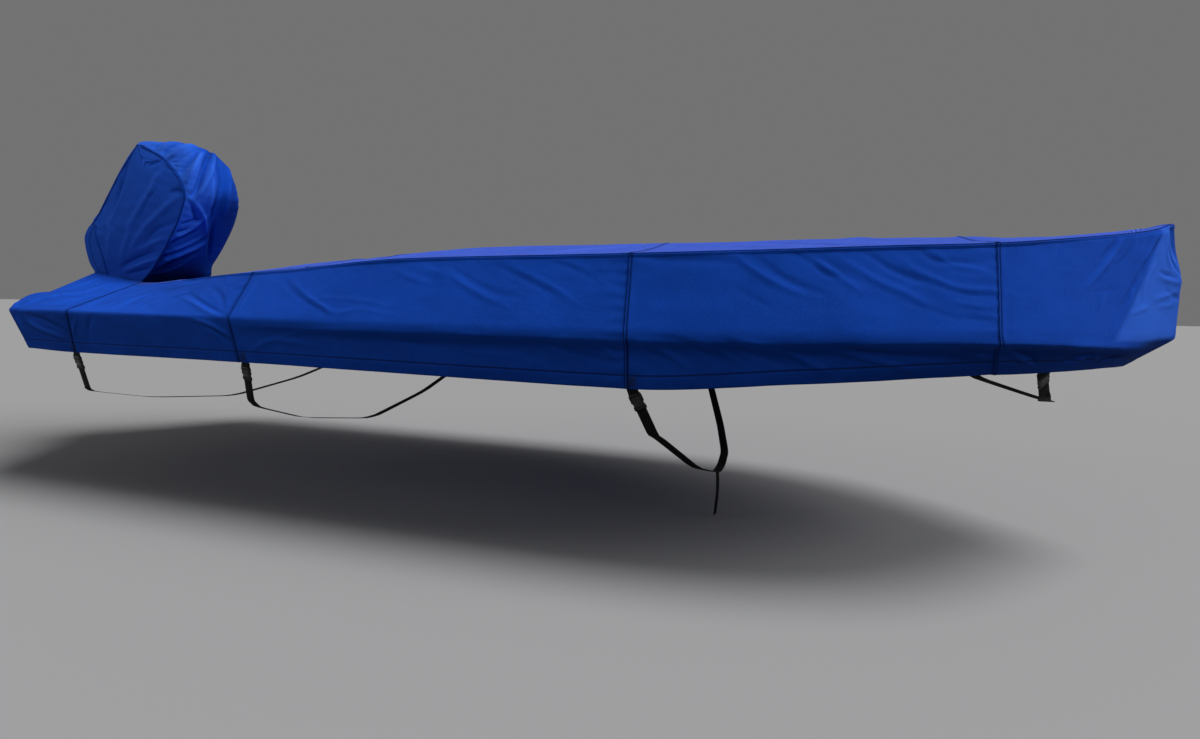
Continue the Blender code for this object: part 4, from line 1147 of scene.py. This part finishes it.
def topShape(grid):
    # the ridge sinks where it runs out over the bow
    deep, start, end = coverSetup["ridgeSink"]
    return -deep * rising(grid["a"], start) * (1 - rising(grid["a"], end)) * (1 - grid["b"]**2)


def scaledFolds(folds, scale):
    return [(line, width * scale[0], height * scale[1]) for line, width, height in folds]


def otherFolds(folds, seed):
    # the far side's own version of the near side's folds
    random = np.random.RandomState(seed)
    other = coverSetup["otherSide"]
    along, up = other["moves"]
    return [([(a + random.uniform(-along, along), b + random.uniform(-up, up)) for a, b in line],
             width * random.uniform(*other["widths"]),
             height * other["strength"] * random.uniform(*other["heights"]))
            for line, width, height in folds]


def sheetSize(panel):
    # the cut's width, length and area, from the cloth as it was sewn
    base = panel["base"]
    long = runLength(base, 1)[:, -1].max(), runLength(base, 0)[-1].max()
    first = np.cross(base[1:, :-1] - base[:-1, :-1], base[:-1, 1:] - base[:-1, :-1])
    second = np.cross(base[1:, :-1] - base[1:, 1:], base[:-1, 1:] - base[1:, 1:])
    area = (np.linalg.norm(first, axis=-1) + np.linalg.norm(second, axis=-1)).sum() / 2
    folded = coverSetup["hemTurn"][0] if "hem" in panel["edges"] else 0
    flat = (round(float(min(long)) + folded, 3), round(float(max(long)), 3))
    return flat, round(float(area) + folded * flat[1] * coverSetup["hemTurn"][1], 4)


stitched = {}


def addPanel(node, panel, slotName, group):
    piece = meshFromPanel("cloth_" + node, panel, materials[slotName])
    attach(piece, "root")
    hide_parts(node)
    sewn = stitched.setdefault(group, {"rows": [], "panels": []})
    sewn["rows"] += stitchRows(panel)
    sewn["panels"].append((piece, *sheetSize(panel)))


tabSpots = {}     # filled by markTabs: places on each panel where the cloth lies flat under a tab


def sidePanels():
    middle, seeds = coverSetup["middles"]["side"], coverSetup["seeds"]
    for index, bay in enumerate(sideBays):
        last = bay["name"] == "bow"
        for mirror in (True, False):
            folds = scaledFolds(sideFolds[bay["name"]], coverSetup["sideFolds"][bay["name"]])
            folds = folds if mirror else otherFolds(folds, seeds["sideOther"] + index)
            panel = makePanel(lambda a, b, bay=bay: sidePoint(bay, a, b), (0, 1), (-1, 1),
                              ("hem", "fell", "plain", "plain" if last else "band"), middle, folds,
                              seeds["side"] + 10 * index + 5 * mirror,
                              form=skirtForm(bay), shape=skirtShape(bay), shade=skirtShade(bay),
                              calmSpots=tabSpots.get(bay["name"], ()), mirror=mirror)
            side = "starboard" if mirror else "port"
            addPanel(f"side_{bay['name']}_{side}", panel, "cover_cloth", "sides_" + side)


topFolds = {
    "aft": [(((.02, -.30), (.25, -.42), (.60, -.55)), 18, 8), (((.02, .25), (.28, .40), (.55, .62)), 18, 8),
            (((.05, -.70), (.30, -.75), (.75, -.80)), 14, -6), (((.05, .72), (.35, .70), (.7, .85)), 14, -6),
            (((.55, -.95), (.70, -.50), (.95, -.10)), 20, 7), (((.5, .9), (.75, .45), (.96, .12)), 20, 6)],
    "mid_aft": [(((.1, -.8), (.5, -.5), (.9, -.2)), 18, 5), (((.1, .7), (.5, .5), (.9, .1)), 18, 5)],
    "mid": [(((.05, -.85), (.22, -.55), (.40, -.3)), 20, 7), (((.4, -.9), (.5, -.55), (.66, -.3)), 18, -6),
            (((.70, -.95), (.80, -.60), (.92, -.20)), 18, 8), (((.05, .80), (.25, .55), (.42, .20)), 20, 7),
            (((.50, .90), (.62, .50), (.70, .25)), 18, 7), (((.75, .9), (.85, .6), (.95, .3)), 18, -6)],
    "fore": [(((.05, -.3), (.3, -.55), (.5, -.92)), 18, 7), (((.3, -.2), (.55, -.5), (.75, -.9)), 18, -7),
             (((.6, -.1), (.8, -.4), (.95, -.85)), 18, 7), (((.08, .3), (.3, .6), (.48, .9)), 18, 7),
             (((.55, .15), (.8, .5), (.93, .9)), 18, 6)],
    "bow": [(((.05, -.6), (.3, -.4), (.7, -.2)), 16, 6), (((.1, .5), (.35, .45), (.7, .2)), 16, 6),
            (((.35, -.9), (.5, -.6), (.8, -.2)), 14, -6)],
}


def topPanels():
    for index, bay in enumerate(topBays):
        panel = makePanel(lambda a, b, bay=bay: topPoint(bay, a, b), (0, 1), (-1, 1),
                          ("soft", "soft", "band" if bay["name"] == "aft" else "plain",
                           "plain" if bay["name"] == "bow" else "band"),
                          coverSetup["middles"]["top"], topFolds[bay["name"]],
                          coverSetup["seeds"]["top"] + 10 * index,
                          shape=topShape if bay["name"] == "bow" else None,
                          shade=footShade if bay["name"] == "aft" else None)
        addPanel("top_" + bay["name"], panel, "top_cloth", "top")


def flapPoint(a, b):
    # from the stern corner's edge to the line between its hem and the foot of the motor's opening
    bay = sideBays[0]
    corner = frameLine(1, np.full_like(b, bay["aft"]))
    return between(sidePoint(bay, np.zeros_like(b), b),
                   between(corner, np.array(coverPattern["flapFoot"]), b), a)


def hoodPanels():
    middle, top, seeds = coverSetup["middles"]["hood"], coverPattern["gussetTop"], coverSetup["seeds"]

    # painted light on the hood's sides and gussets
    def pale(grid):
        return -coverSetup["hoodPale"][0]
    for mirror in (True, False):
        side = "starboard" if mirror else "port"
        folds = scaledFolds(hoodSideFolds, coverSetup["hoodFolds"])
        folds = [([(a / (1 - float(gussetReach(np.array(b)))), b) for a, b in line], width, height)
                 for line, width, height in folds]
        folds = folds if mirror else otherFolds(folds, seeds["hoodOther"])
        panel = makePanel(lambda a, b: hoodSidePoint(b, a * (1 - gussetReach(b))), (0, 1), (0, 1),
                          ("plain", "plain", "band", "band"), middle, folds, seeds["hoodSide"] + mirror,
                          shade=pale, mirror=mirror)
        addPanel("hood_side_" + side, panel, "cover_cloth", "hood")
        panel = makePanel(lambda a, b: hoodSidePoint(b, 1 - gussetReach(b) * (1 - a)), (0, 1), (0, top),
                          ("plain", "plain", "plain", "hem"), middle, (), seeds["gusset"] + mirror,
                          shade=pale, mirror=mirror)
        addPanel("hood_gusset_" + side, panel, "cover_cloth", "hood")
        panel = makePanel(flapPoint, (0, 1), (0, 1), ("plain", "hem", "plain", "hem"),
                          coverSetup["middles"]["flap"], (), seeds["flap"] + mirror, mirror=mirror)
        addPanel("transom_flap_" + side, panel, "cover_cloth", "hood")
    panel = makePanel(crownPoint, (0, 1 + coverPattern["apexRun"] + coverPattern["crownAftReach"]), (-1, 1),
                      ("plain", "plain", "plain", "hem"), middle,
                      scaledFolds(crownFolds, coverSetup["crownFolds"]), seeds["crown"],
                      shape=crownShape, shade=crownShade)
    addPanel("hood_crown", panel, "cover_cloth", "hood")


strapSetup = {
    "webbing": (.038, .0016),  # width and thickness
    "crowned": (.55, 1.12),    # where across the webbing it is fullest, and how full
    "clothHalf": .001,
    "tabStand": .0006,
    "tabAboveHem": .045,
    "tabBelowHem": .020,
    "tabSlack": .0002,         # between the plies of a tab, and between a tab and the buckle's bar
    "hemBehind": .0026,        # how much farther in the tab lies than on a single ply
    "calmRises": (0, .022, .045),   # heights on a tab round which the cloth lies flat
    "calmNear": .06,           # how near a seam a tab has to be to calm both panels
    "box": (.030, .007, .040), # width of the box of stitches, and its foot and head above the hem
    "boxRows": (-.5, 0, .5),   # where across its half-width the rows between its sides run
    "boxPoints": 12,
    "boxSink": .0002,          # how far the thread sinks into the cloth
    "gap": .0003,
    "routeCut": .12,           # how much of each piece the rounding of a route cuts off, and how often
    "routePasses": 4,
    "step": .030,
    # (station, places from the buckle to the middle) of the webbing under the hull
    "routes": [
        (-2.045, [(-2.056, .825, -.725), (-2.080, .790, -.745), (-2.100, .500, -.815), (-2.110, .060, -.868),
                  (-2.110, 0, -.870)]),
        (-1.078, [(-1.082, .830, -.716), (-1.095, .785, -.752), (-1.120, .500, -.850), (-1.130, .060, -.928),
                  (-1.130, 0, -.930)]),
        (.570, [(.643, .815, -.722), (.660, .765, -.748), (.749, .480, -.912), (.803, .200, -.997),
                (.806, 0, -1.012)]),
        (1.835, [(1.905, .440, -.560), (1.935, .360, -.582), (2.010, .180, -.606), (2.065, .050, -.622),
                 (2.080, 0, -.625)]),
    ],
    "boxed": (1, 2, 3),     # the straps whose tabs have a sewn box; the hem row holds the others
    "tail": {"place": (.803, -.150), "length": .20, "facing": (.25, .97, 0), "seat": .0022, "steps": 18,
             "sway": (.004, 1.3)},
}
boxThread = {"pitch": .0050, "length": .0046, "width": .0024, "height": .0012}
buckleSetup = {
    "length": .062, "width": .046, "depth": .013,
    # place along the buckle, then share of the width
    "outline": [(0, .86), (.12, 1), (.50, 1), (.58, .84), (.70, .84), (.78, .98), (.94, .98), (1, .86)],
    "cells": (46, 62),
    "bar": .0046,            # the bar that the tab wraps round
    "slots": [(.0046, .0086), (.0475, .0510), (.0555, .0590)],     # the tab's, then the ladder's two
    "slotHalf": .0184,
    "domed": .22,            # how much thinner its sides are than its middle
    "rounding": (.30, .0035),          # share of the thickness left at an edge, and how far in it is full
    "socket": (.0345, .86),            # where the socket ends, and how thick the prongs' half is beside it
    "joint": (.0355, .0009, .30),      # place, width and depth of the joint between the halves
    "window": (.0150, .0125, .0290),   # inner side, start and end of the open sides
    "prongs": (.0185, .003),           # how far out they lie, and how far they bend
    "windowDepths": (.74, .30),        # share of the thickness on a prong and beside it
    "rails": (.0125, .0008, .0007, .010, .032),    # place, width, depth, start and end of the two grooves
    "thumb": (.0085, .021, .0065, .0010),          # half-width, place, half-length and depth of the hollow
    "sharpFrom": 50,
}


def bayAt(station):
    return next(bay for bay in sideBays if station <= bay["fore"])


def skirtAt(station, up):
    bay = bayAt(station)
    share = (station - bay["aft"]) / (bay["fore"] - bay["aft"])
    return sidePoint(bay, np.array(share), np.array(float(up)))


def tabFrame(station, route, side):
    # where a tab lies on the skirt, and its directions
    half = strapSetup["webbing"][0] / 2
    hems = [skirtAt(station + offset, -1) for offset in (-half, 0, half)]
    knuckle = skirtAt(station, 0)
    along = unit(hems[2] - hems[0])
    up = unit(knuckle - hems[1])
    out = unit(np.cross(along, up))
    out = out if out[1] > 0 else -out
    down = unit(np.array(route[0]) - hems[1])
    home = {"hem": hems[1], "along": along, "up": up, "out": out, "down": down}
    return {key: value * (1, side, 1) for key, value in home.items()}


def markTabs():
    for station, route in strapSetup["routes"]:
        home = tabFrame(station, route, 1)
        for bay in sideBays:
            if bay["aft"] - strapSetup["calmNear"] < station < bay["fore"] + strapSetup["calmNear"]:
                tabSpots.setdefault(bay["name"], []).extend(
                    tuple(home["hem"] + home["up"] * rise) for rise in strapSetup["calmRises"])


def faceOutward(mesh):
    # no loose corners, and every face turned outward
    tidy = bmesh.new()
    tidy.from_mesh(mesh)
    bmesh.ops.delete(tidy, geom=[v for v in tidy.verts if not v.link_faces], context="VERTS")
    bmesh.ops.recalc_face_normals(tidy, faces=tidy.faces)
    tidy.to_mesh(mesh)
    tidy.free()


def ribbonMesh(name, centres, across, faces):
    # webbing with rounded selvedges, swept along a line
    half, deep = (size / 2 for size in strapSetup["webbing"])
    out, full = strapSetup["crowned"]
    section = np.array([(-half, 0), (-half + deep, deep), (-half * out, deep * full), (0, deep),
                        (half * out, deep * full), (half - deep, deep), (half, 0), (half - deep, -deep),
                        (0, -deep), (-half + deep, -deep)])
    centres, across, faces = (np.array(x, float) for x in (centres, across, faces))
    rings = centres[:, None] + across[:, None] * section[:, :1] + faces[:, None] * section[:, 1:]
    run = runLength(centres, 0)
    count, size = rings.shape[:2]
    quads, places = [], []
    around = np.append(section[:, 0] + half, section[0, 0] + half)
    for i in range(count - 1):
        for j in range(size):
            k = (j + 1) % size
            quads.append((i * size + j, i * size + k, (i + 1) * size + k, (i + 1) * size + j))
            places += [(run[n], around[m]) for n, m in ((i, j), (i, k), (i + 1, k), (i + 1, j))]
    ends = [tuple(range(size)), tuple(range((count - 1) * size, count * size))[::-1]]
    for ring, at in zip(ends, (run[0], run[-1])):
        places += [(at, around[j % size]) for j in ring]
    mesh = bpy.data.meshes.new(name)
    mesh.from_pydata(rings.reshape(-1, 3).tolist(), [], quads + ends)
    cut = mesh.uv_layers.new(name="cut")
    cut.data.foreach_set("uv", np.array(places, np.float32).ravel())
    faceOutward(mesh)
    return finishMesh(name, mesh, materials["webbing"])


def finishWebbing(piece, node):
    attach(piece, "root")
    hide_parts(node)


def makeTab(name, home):
    # sewn behind the hem, then down round the buckle's bar and up behind itself
    thick = strapSetup["webbing"][1]
    stand = -(strapSetup["clothHalf"] + strapSetup["tabStand"] + thick / 2)
    top, foot, bar = strapSetup["tabAboveHem"], strapSetup["tabBelowHem"], buckleSetup["bar"]
    slack, inside = strapSetup["tabSlack"], -strapSetup["hemBehind"]
    lift = bar / 2 + thick / 2 + slack
    # (rise above the hem, fall below it, how far out), each in its own direction
    path = [(top, 0, inside), (top * .6, 0, inside), (top * .25, 0, inside), (0, 0, inside),
            (0, foot * .30, inside * .8), (0, foot * .65, lift * .45), (0, foot, lift * .93),
            (0, foot + bar * .5, lift)]
    path += [(0, foot + bar * .5 + lift * math.sin(t), lift * math.cos(t))
             for t in np.linspace(0, math.pi, 7)[1:]]
    path += [(0, foot, -lift * .95), (0, foot * .72, -lift * .75),
             (0, foot * .45, inside * .9 - thick - 3 * slack), (0, foot * .2, inside - thick - slack)]
    centres = [home["hem"] + home["out"] * (stand + out) + home["up"] * rise + home["down"] * fall
               for rise, fall, out in path]
    across = unit(home["along"] - home["down"] * (home["along"] @ home["down"]))
    runs = np.gradient(np.array(centres), axis=0)
    facing = unit(np.cross(across, runs))
    facing = facing if facing[0] @ home["out"] > 0 else -facing
    return ribbonMesh(name, centres, [across] * len(centres), facing)


def boxStitch(home):
    # close rows of thread in a box, sewn through the skirt, the hem and the tab behind them
    width, low, high = strapSetup["box"]
    half, stand = width / 2, strapSetup["clothHalf"] + hemSetup["ply"] - strapSetup["boxSink"]
    across = unit(home["along"] - home["up"] * (home["along"] @ home["up"]))

    def at(side, rise):
        return home["hem"] + home["out"] * stand + across * side + home["up"] * rise
    corners = [at(-half, low), at(half, low), at(half, high), at(-half, high)]
    lines = list(zip(corners, corners[1:] + corners[:1])) + list(zip(corners[:2], corners[2:]))
    lines += [(at(side * half, low), at(side * half, high)) for side in strapSetup["boxRows"]]
    count = strapSetup["boxPoints"]
    return [(np.linspace(a, b, count), np.tile(home["out"], (count, 1))) for a, b in lines]


def buckleHalf(x, y, reach):
    # half the buckle's thickness at each place: domed, rounded at its edges, and cut by its details
    setup = buckleSetup
    beside, halfWidth = np.abs(x), setup["width"] / 2
    least, near = setup["rounding"]
    edge = np.minimum(np.minimum(halfWidth * reach - beside, y), setup["length"] - y)
    rounded = least + (1 - least) * np.sqrt(np.clip(edge / near, 0, 1))
    half = setup["depth"] / 2 * (1 - setup["domed"] * (x / halfWidth)**2) * np.clip(rounded, 0, 1)
    end, thinner = setup["socket"]
    half = np.where(y < end, half, half * thinner)
    place, width, deep = setup["joint"]
    half *= 1 - deep * np.exp(-((y - place) / width)**2)
    inner, start, end = setup["window"]
    far, bend = setup["prongs"]
    window = (beside > inner) & (y > start) & (y < end)
    prong = window & (beside > far - bend * np.sin(math.pi * np.clip((y - start) / (end - start), 0, 1)))
    half = np.where(window, half * np.where(prong, *setup["windowDepths"]), half)
    place, width, deep, start, end = setup["rails"]
    half -= deep * np.exp(-((beside - place) / width)**2) * (y > start) * (y < end)
    width, place, long, deep = setup["thumb"]
    half -= deep * np.exp(-((x / width)**4 + ((y - place) / long)**4))
    return half


def makeBuckle(name, home):
    # a side-release buckle snapped shut: a socket with open sides, prongs in them, and a ladder end
    length = buckleSetup["length"]
    nx, ny = buckleSetup["cells"]
    places, shares = np.array(buckleSetup["outline"]).T
    ys = np.linspace(0, length, ny + 1)
    gridX, gridY = np.meshgrid(np.linspace(-1, 1, nx + 1), ys)
    reach = np.interp(gridY / length, places, shares)
    gridX = gridX * reach * buckleSetup["width"] / 2
    half = buckleHalf(gridX, gridY, reach)
    out = unit(home["out"] - home["down"] * (home["out"] @ home["down"]))
    across = unit(np.cross(home["down"], out))
    place = home["foot"] + across * gridX[..., None] + home["down"] * gridY[..., None]
    middleX, middleY = (gridX[:-1, :-1] + gridX[1:, 1:]) / 2, (ys[:-1] + ys[1:])[:, None] / 2
    solid = np.ones((ny, nx), bool)
    for low, high in buckleSetup["slots"]:
        solid &= ~((middleY > low) & (middleY < high) & (np.abs(middleX) < buckleSetup["slotHalf"]))
    verts = np.concatenate([(place + out * side * half[..., None]).reshape(-1, 3) for side in (1, -1)])
    index = np.arange((ny + 1) * (nx + 1)).reshape(ny + 1, nx + 1)
    under = index.size
    faces = []
    padded = np.pad(solid, 1)
    for j, i in np.argwhere(solid):
        a, b, c, d = (int(k) for k in (index[j, i], index[j, i + 1], index[j + 1, i + 1], index[j + 1, i]))
        faces += [(a, b, c, d), (d + under, c + under, b + under, a + under)]
        for full, (p, q) in ((padded[j, i + 1], (a, b)), (padded[j + 2, i + 1], (c, d)),
                             (padded[j + 1, i], (d, a)), (padded[j + 1, i + 2], (b, c))):
            if not full:
                faces.append((q, p, p + under, q + under))
    mesh = bpy.data.meshes.new(name)
    mesh.from_pydata(verts.tolist(), [], faces)
    faceOutward(mesh)
    piece = finishMesh(name, mesh, materials["buckle_plastic"])
    mesh.set_sharp_from_angle(angle=math.radians(buckleSetup["sharpFrom"]))
    return piece


def roundRoute(points):
    cut = strapSetup["routeCut"]
    for _ in range(strapSetup["routePasses"]):
        eased = [points[0]]
        for a, b, c in zip(points, points[1:], points[2:]):
            eased += [b + (a - b) * cut, b + (c - b) * cut]
        points = eased + [points[-1]]
    return points


def evenSteps(points):
    out = [points[0]]
    for a, b in zip(points, points[1:]):
        count = max(1, math.ceil(np.linalg.norm(b - a) / strapSetup["step"]))
        out += [a + (b - a) * i / count for i in range(1, count + 1)]
    return out


def makeRun(number, ways, acrosses):
    # the webbing under the hull, from buckle to buckle
    path = np.array(evenSteps(roundRoute(ways[0] + ways[1][::-1][1:])))
    runs = unit(np.gradient(path, axis=0))
    blend = np.clip(np.abs(path[:, 1:2]) / abs(path[0][1]), 0, 1)
    side = np.where(path[:, 1:2] < 0, acrosses[0], acrosses[1])
    wide = (1 - blend) * np.array([1., 0, 0]) + blend * side
    wide = unit(wide - runs * (wide * runs).sum(-1, keepdims=True))
    finishWebbing(ribbonMesh(f"strap_{number}", path, wide, np.cross(wide, runs)), f"webbing_{number}")
    return round(float(runLength(path, 0)[-1]), 3)


def makeTail():
    # the free end that hangs from the third run
    tail = strapSetup["tail"]
    (_, yOut, zOut), (_, yIn, zIn) = strapSetup["routes"][2][1][3:]
    x, y = tail["place"]
    z = zOut + (zIn - zOut) * (yOut + y) / (yOut - yIn) - tail["seat"]
    drop = np.linspace(0, tail["length"], tail["steps"])
    size, waves = tail["sway"]
    sway = size * np.sin(drop / tail["length"] * math.pi * waves)
    facing = np.tile(unit(np.array(tail["facing"], float)), (tail["steps"], 1))
    swing = np.array([facing[0, 1], -facing[0, 0], 0])
    path = np.array([x, y, z]) - drop[:, None] * np.array([0, 0, 1.]) + sway[:, None] * swing
    runs = unit(np.gradient(path, axis=0))
    finishWebbing(ribbonMesh("strap_tail", path, facing, np.cross(facing, runs)), "webbing_3_free_end")


def makeStraps():
    stand = strapSetup["clothHalf"] + strapSetup["tabStand"] + strapSetup["webbing"][1] / 2
    boxRows, lengths = [], {}
    for number, (station, route) in enumerate(strapSetup["routes"], 1):
        ways, acrosses = [], []
        for side, sideName in ((-1, "starboard"), (1, "port")):
            home = tabFrame(station, route, side)
            home["foot"] = (home["hem"] - home["out"] * stand
                            + home["down"] * (strapSetup["tabBelowHem"] + strapSetup["gap"]))
            tab = makeTab(f"tab_{number}_{sideName}", home)
            finishWebbing(tab, f"strap_tab_{number}_{sideName}")
            if number in strapSetup["boxed"]:
                boxRows += boxStitch(home)
            buckle = makeBuckle(f"side_release_{number}_{sideName}", home)
            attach(buckle, "root")
            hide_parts(f"buckle_{number}_{sideName}")
            start = home["foot"] + home["down"] * (buckleSetup["length"] + strapSetup["gap"])
            ways.append([start] + [np.array(p) * (1, side, 1) for p in route])
            acrosses.append(home["along"])
        lengths[number] = makeRun(number, ways, acrosses)
    makeTail()
    stitches = makeStitches("stitches_tabs", boxRows, materials["dark_thread"], boxThread)
    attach(stitches, "root")
    print("strap lengths:", lengths)


def finishCloth():
    # the stitches of each group of panels, then each panel's flat size and area printed
    for group, made in stitched.items():
        thread = makeStitches("stitches_" + group, made["rows"], materials["thread"])
        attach(thread, "root")
        for number, (piece, flat, area) in enumerate(made["panels"]):
            print("sheet", piece.name, "flat", flat, "area", area)


markTabs()
sidePanels()
print("sides sewn")
topPanels()
print("top sewn")
hoodPanels()
print("hood sewn")
makeStraps()
print("straps made")
finishCloth()

roomSetup = {
    "floor": -1.215,
    "floorSize": 240,
    "floorColour": (.25, .25, .253),
    "floorRoughness": .9,
    "floorShine": .1,
    "sky": (.170, .170, .171),
    # each soft sun: degrees round from the bow toward port, degrees up, strength, spread in degrees
    "suns": [(8, 65, 3.0, 26), (-150, 12, .77, 30), (4, 36, 1.65, 30)],
}


def makeRoom():
    half = roomSetup["floorSize"] / 2
    mesh = bpy.data.meshes.new("floor")
    corners = [(-half, -half, 0), (half, -half, 0), (half, half, 0), (-half, half, 0)]
    mesh.from_pydata(corners, [], [(0, 1, 2, 3)])
    mesh.materials.append(newMaterial("floor", roomSetup["floorColour"], roomSetup["floorRoughness"],
                                      {"Specular IOR Level": roomSetup["floorShine"]})[0])
    floor = bpy.data.objects.new("floor", mesh)
    floor.location = (0, 0, roomSetup["floor"])
    bpy.context.scene.collection.objects.link(floor)
    world = bpy.data.worlds.new("studio")
    world.use_nodes = True
    world.node_tree.nodes["Background"].inputs[0].default_value = (*roomSetup["sky"], 1)
    bpy.context.scene.world = world
    for number, (azimuth, height, strength, spread) in enumerate(roomSetup["suns"]):
        sun = bpy.data.lights.new(f"sun_{number}", "SUN")
        sun.energy, sun.angle = strength, math.radians(spread)
        stand = bpy.data.objects.new(f"sun_{number}", sun)
        turn, tilt = math.radians(azimuth), math.radians(height)
        toward = Vector((math.cos(turn) * math.cos(tilt), math.sin(turn) * math.cos(tilt), math.sin(tilt)))
        stand.rotation_mode = "QUATERNION"
        stand.rotation_quaternion = toward.to_track_quat("Z", "Y")
        bpy.context.scene.collection.objects.link(stand)
    bpy.context.scene.view_settings.view_transform = "Standard"


makeRoom()
print("room lit")
